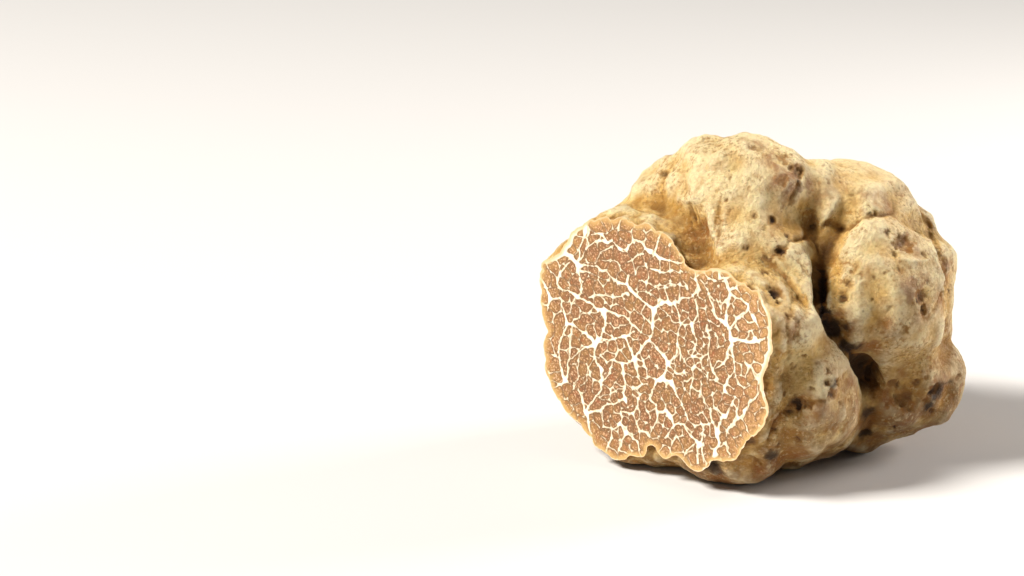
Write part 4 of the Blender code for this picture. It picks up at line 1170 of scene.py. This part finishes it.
def skin_material():
    tree, shader, where, patch = start_material(skin)
    hollow, under, dimple, fold, pit, pore, stain, soil = [
        attribute(tree, label)
        for label in ("hollow", "under", "dimple", "fold", "pit", "pore", "stain", "soil")
    ]
    height = add(tree, "ShaderNodeSeparateXYZ", where)[2]
    sheltered = ramped(tree, hollow, -0.3, 0.6)
    crumbly = patch(1.6, 0.25, 0.6, 51.0, 4.0)
    grainy = ramped(tree, patch(7.0, 0.42, 0.6, 67.0, 2.0), 0.0, 1.0, 0.35, 1.0)

    base = mixed(tree, patch(9.0, 0.3, 0.7, 3.0, 2.0), colour(244, 205, 128),
                 colour(226, 178, 94))
    base = painted(tree, base, [
        # broad patches of cream and of ochre
        (patch(4.0, 0.4, 0.72, 11.0, 3.0), 0.75, (253, 229, 166)),
        (patch(5.0, 0.48, 0.72, 23.0, 3.0), 0.7, (190, 134, 54)),
        # pale on the swellings as painted highlight, darker in the hollows and deep between the
        # lobes as painted shade
        (ramped(tree, hollow, 0.1, -0.9), 0.8, (255, 240, 196)),
        (ramped(tree, hollow, 0.1, 1.6), 0.62, (190, 138, 56)),
        (times(tree, ramped(tree, under, 3.5, 8.0), sheltered), 0.45, (178, 124, 46)),
        # painted highlight pale on top, painted shade darker and browner towards the ground
        (times(tree, ramped(tree, height, 36.0, 54.0), ramped(tree, hollow, 0.6, -0.4)), 0.55,
         (255, 237, 188)),
        (times(tree, ramped(tree, height, 34.0, 6.0), patch(4.0, 0.26, 0.6, 37.0)), 0.85,
         (138, 88, 28)),
    ])
    # brown stain marks: real stains, and painted shade on lobe sides turned from the light
    stain_and_shade_brown = mixed(tree, patch(3.0, 0.4, 0.6, 97.0, 2.0), colour(142, 80, 24),
                    colour(158, 90, 34))
    stain_and_shade_share = times(tree, ramped(tree, stain, 0.0, 0.8), crumbly)
    stain_and_shade_share = calc(tree, "MAXIMUM", stain_and_shade_share, ramped(tree, stain, 0.2, 0.9))
    base = mixed(tree, times(tree, stain_and_shade_share, 0.8), base, stain_and_shade_brown)
    base = painted(tree, base, [
        # dull patches, then dark, pale and dark grain, each finer than the last
        (patch(2.2, 0.48, 0.74, 61.0, 5.0), 0.55, (188, 134, 60)),
        (times(tree, grainy, patch(0.8, 0.46, 0.68, 43.0, 5.0)), 0.7, (172, 114, 44)),
        (times(tree, grainy, patch(0.7, 0.52, 0.7, 57.0, 4.0)), 0.5, (255, 232, 176)),
        (times(tree, grainy, patch(0.45, 0.54, 0.72, 47.0, 3.0)), 0.48, (130, 86, 36)),
        # painted shade in small dents and painted highlight on small rises
        (ramped(tree, dimple, 0.3, 3.0), 0.4, (150, 100, 38)),
        (ramped(tree, dimple, -0.4, -2.6), 0.3, (255, 240, 196)),
        # painted shade in the deep clefts, brown and then black
        (ramped(tree, hollow, 1.0, 2.6), 1.0, (84, 50, 10)),
        (times(tree, ramped(tree, under, 5.0, 9.0), ramped(tree, hollow, 0.2, 1.2)), 0.9,
         (60, 34, 6)),
        (ramped(tree, hollow, 1.8, 3.2), 1.0, (26, 14, 4)),
        # pores, painted shade down the folds and in the clefts, and pits
        (ramped(tree, pore, 0.1, 0.7), 0.5, (134, 90, 42)),
        (ramped(tree, fold, 0.1, 0.7), 0.85, (132, 84, 28)),
        (ramped(tree, soil, 0.0, 0.7), 0.92, (44, 26, 8)),
        (ramped(tree, fold, 0.5, 1.0), 1.0, (36, 20, 6)),
        (times(tree, ramped(tree, pit, 0.03, 0.45), crumbly), 0.7, (142, 96, 46)),
        (ramped(tree, pit, 0.4, 0.85), 0.95, (58, 36, 16)),
    ])
    tree.links.new(base, shader.inputs["Base Color"])

    rough = ramped(tree, patch(2.2, 0.3, 0.7, 71.0), 0.0, 1.0, 0.5, 0.68)
    tree.links.new(rough, shader.inputs["Roughness"])
    shader.inputs["Specular IOR Level"].default_value = 0.35
    shader.inputs["Subsurface Weight"].default_value = 0.12
    shader.inputs["Subsurface Radius"].default_value = (1.0, 0.55, 0.25)
    shader.inputs["Subsurface Scale"].default_value = 1.2 * MM

    grain = add(tree, "ShaderNodeTexNoise", where, 1.4, 8.0, 0.7)[0]
    bump = add(tree, "ShaderNodeBump", 1.0, 1.4 * MM, None, grain)[0]
    tree.links.new(bump, shader.inputs["Normal"])


skin_material()


def flesh_material():
    tree, shader, where, patch = start_material(flesh)
    vein = attribute(tree, "vein")
    deep = attribute(tree, "rim")
    right = add(tree, "ShaderNodeSeparateXYZ", where)[0]

    base = mixed(tree, patch(6.0, 0.4, 0.6, 5.0), colour(140, 99, 64), colour(148, 110, 66))
    base = painted(tree, base, [
        (patch(1.3, 0.4, 0.66, 17.0, 4.0), 0.6, (122, 82, 54)),
        # paler towards the skin and to the right
        (ramped(tree, deep, 4.5, 0.3), 0.6, (180, 138, 82)),
        (ramped(tree, right, -8.0, 2.0), 0.5, (190, 148, 96)),
        # dark, reddish and pale specks
        (patch(0.7, 0.45, 0.7, 73.0, 5.0), 0.6, (104, 68, 44)),
        (patch(0.9, 0.55, 0.7, 83.0, 4.0), 0.4, (170, 94, 60)),
        (patch(0.38, 0.5, 0.66, 29.0, 4.0), 0.75, (216, 176, 138)),
        # a dark line along each vein, painted shade in the groove beside it
        (ramped(tree, vein, 0.3, 0.04), 0.65, (104, 78, 50)),
    ])
    white = ramped(tree, vein, 0.06, -0.08)
    core = ramped(tree, vein, -0.02, -0.25)
    white_colour = mixed(tree, core, colour(226, 208, 178), colour(244, 240, 230))
    base = mixed(tree, white, base, white_colour)
    edge = times(tree, ramped(tree, deep, 1.25, 0.15), patch(2.0, 0.16, 0.5, 91.0))
    base = painted(tree, base, [(edge, 0.82, (206, 168, 108))])
    tree.links.new(base, shader.inputs["Base Color"])
    shader.inputs["Roughness"].default_value = 0.5
    shader.inputs["Specular IOR Level"].default_value = 0.3
    shader.inputs["Subsurface Weight"].default_value = 0.1
    shader.inputs["Subsurface Radius"].default_value = (1.0, 0.6, 0.4)
    shader.inputs["Subsurface Scale"].default_value = 0.6 * MM
    grain = add(tree, "ShaderNodeTexNoise", where, 3.0, 5.0, 0.6)[0]
    height = calc(tree, "ADD", grain, times(tree, white, 0.3))
    bump = add(tree, "ShaderNodeBump", 0.6, 0.12 * MM, None, height)[0]
    tree.links.new(bump, shader.inputs["Normal"])


flesh_material()


# ---------------------------------------------------------------------------------------------
# The set. A pale floor without an edge in sight, soft studio light from the upper left, and a
# camera in front that looks a little down on the truffle and past its left side.

FLOOR_REACH = 6.0
floor_mesh = bpy.data.meshes.new("floor")
floor_mesh.from_pydata([(-FLOOR_REACH, -FLOOR_REACH, 0), (FLOOR_REACH, -FLOOR_REACH, 0),
                        (FLOOR_REACH, FLOOR_REACH, 0), (-FLOOR_REACH, FLOOR_REACH, 0)],
                       [], [(0, 1, 2, 3)])
floor = new_object("floor", floor_mesh)
paper = bpy.data.materials.new("floor_paper")
paper.use_nodes = True
paper_shader = paper.node_tree.nodes["Principled BSDF"]
paper_shader.inputs["Base Color"].default_value = (0.62, 0.62, 0.63, 1)
paper_shader.inputs["Roughness"].default_value = 0.8
floor_mesh.materials.append(paper)

bpy.context.scene.view_settings.view_transform = "Standard"
world = bpy.data.worlds.new("studio")
bpy.context.scene.world = world
world.use_nodes = True
surround = world.node_tree.nodes["Background"]
surround.inputs["Color"].default_value = (1.0, 0.98, 0.95, 1)
surround.inputs["Strength"].default_value = 0.08

LIT_POINT = Vector((0, 0, 0.03))
LAMPS = {
    # turn and height in degrees, distance and size in m, power in W, colour
    "key": (-69, 48, 1.8, 0.5, 66.0, (1.0, 0.945, 0.86)),
    "fill": (-20, 20, 1.1, 0.6, 0.75, (1.0, 0.88, 0.74)),
    "rim": (114, 16, 0.45, 0.16, 2.4, (1.0, 0.93, 0.86)),
}
for name, (turn, height, reach, size, power, tint) in LAMPS.items():
    lamp = bpy.data.lights.new(name, "AREA")
    lamp.size = size
    lamp.energy = power
    lamp.color = tint
    light = new_object(name, lamp)
    turn, height = math.radians(turn), math.radians(height)
    away_from = Vector((math.sin(turn) * math.cos(height), -math.cos(turn) * math.cos(height),
                        math.sin(height)))
    light.location = LIT_POINT + away_from * reach
    light.rotation_euler = (-away_from).to_track_quat("-Z", "Y").to_euler()

# The camera stands where the folds were laid from, and aims left of the truffle and over it.
AIM_LEFT = 43.2 * MM
AIM_ABOVE = 3.15 * MM
lens = bpy.data.cameras.new("camera")
lens.lens = 100.0
lens.sensor_width = 36.0
lens.clip_start = 0.01
camera = new_object("camera", lens)
back = sight(0)[2]
yaw, pitch = math.atan(AIM_LEFT / SIGHT_REACH), math.atan(AIM_ABOVE / SIGHT_REACH)
camera.location = SIGHT_MIDDLE + back * SIGHT_REACH
camera.rotation_mode = "QUATERNION"
straight = (-back).to_track_quat("-Z", "Y")
camera.rotation_quaternion = straight @ Euler((pitch, yaw, 0)).to_quaternion()
bpy.context.scene.camera = camera
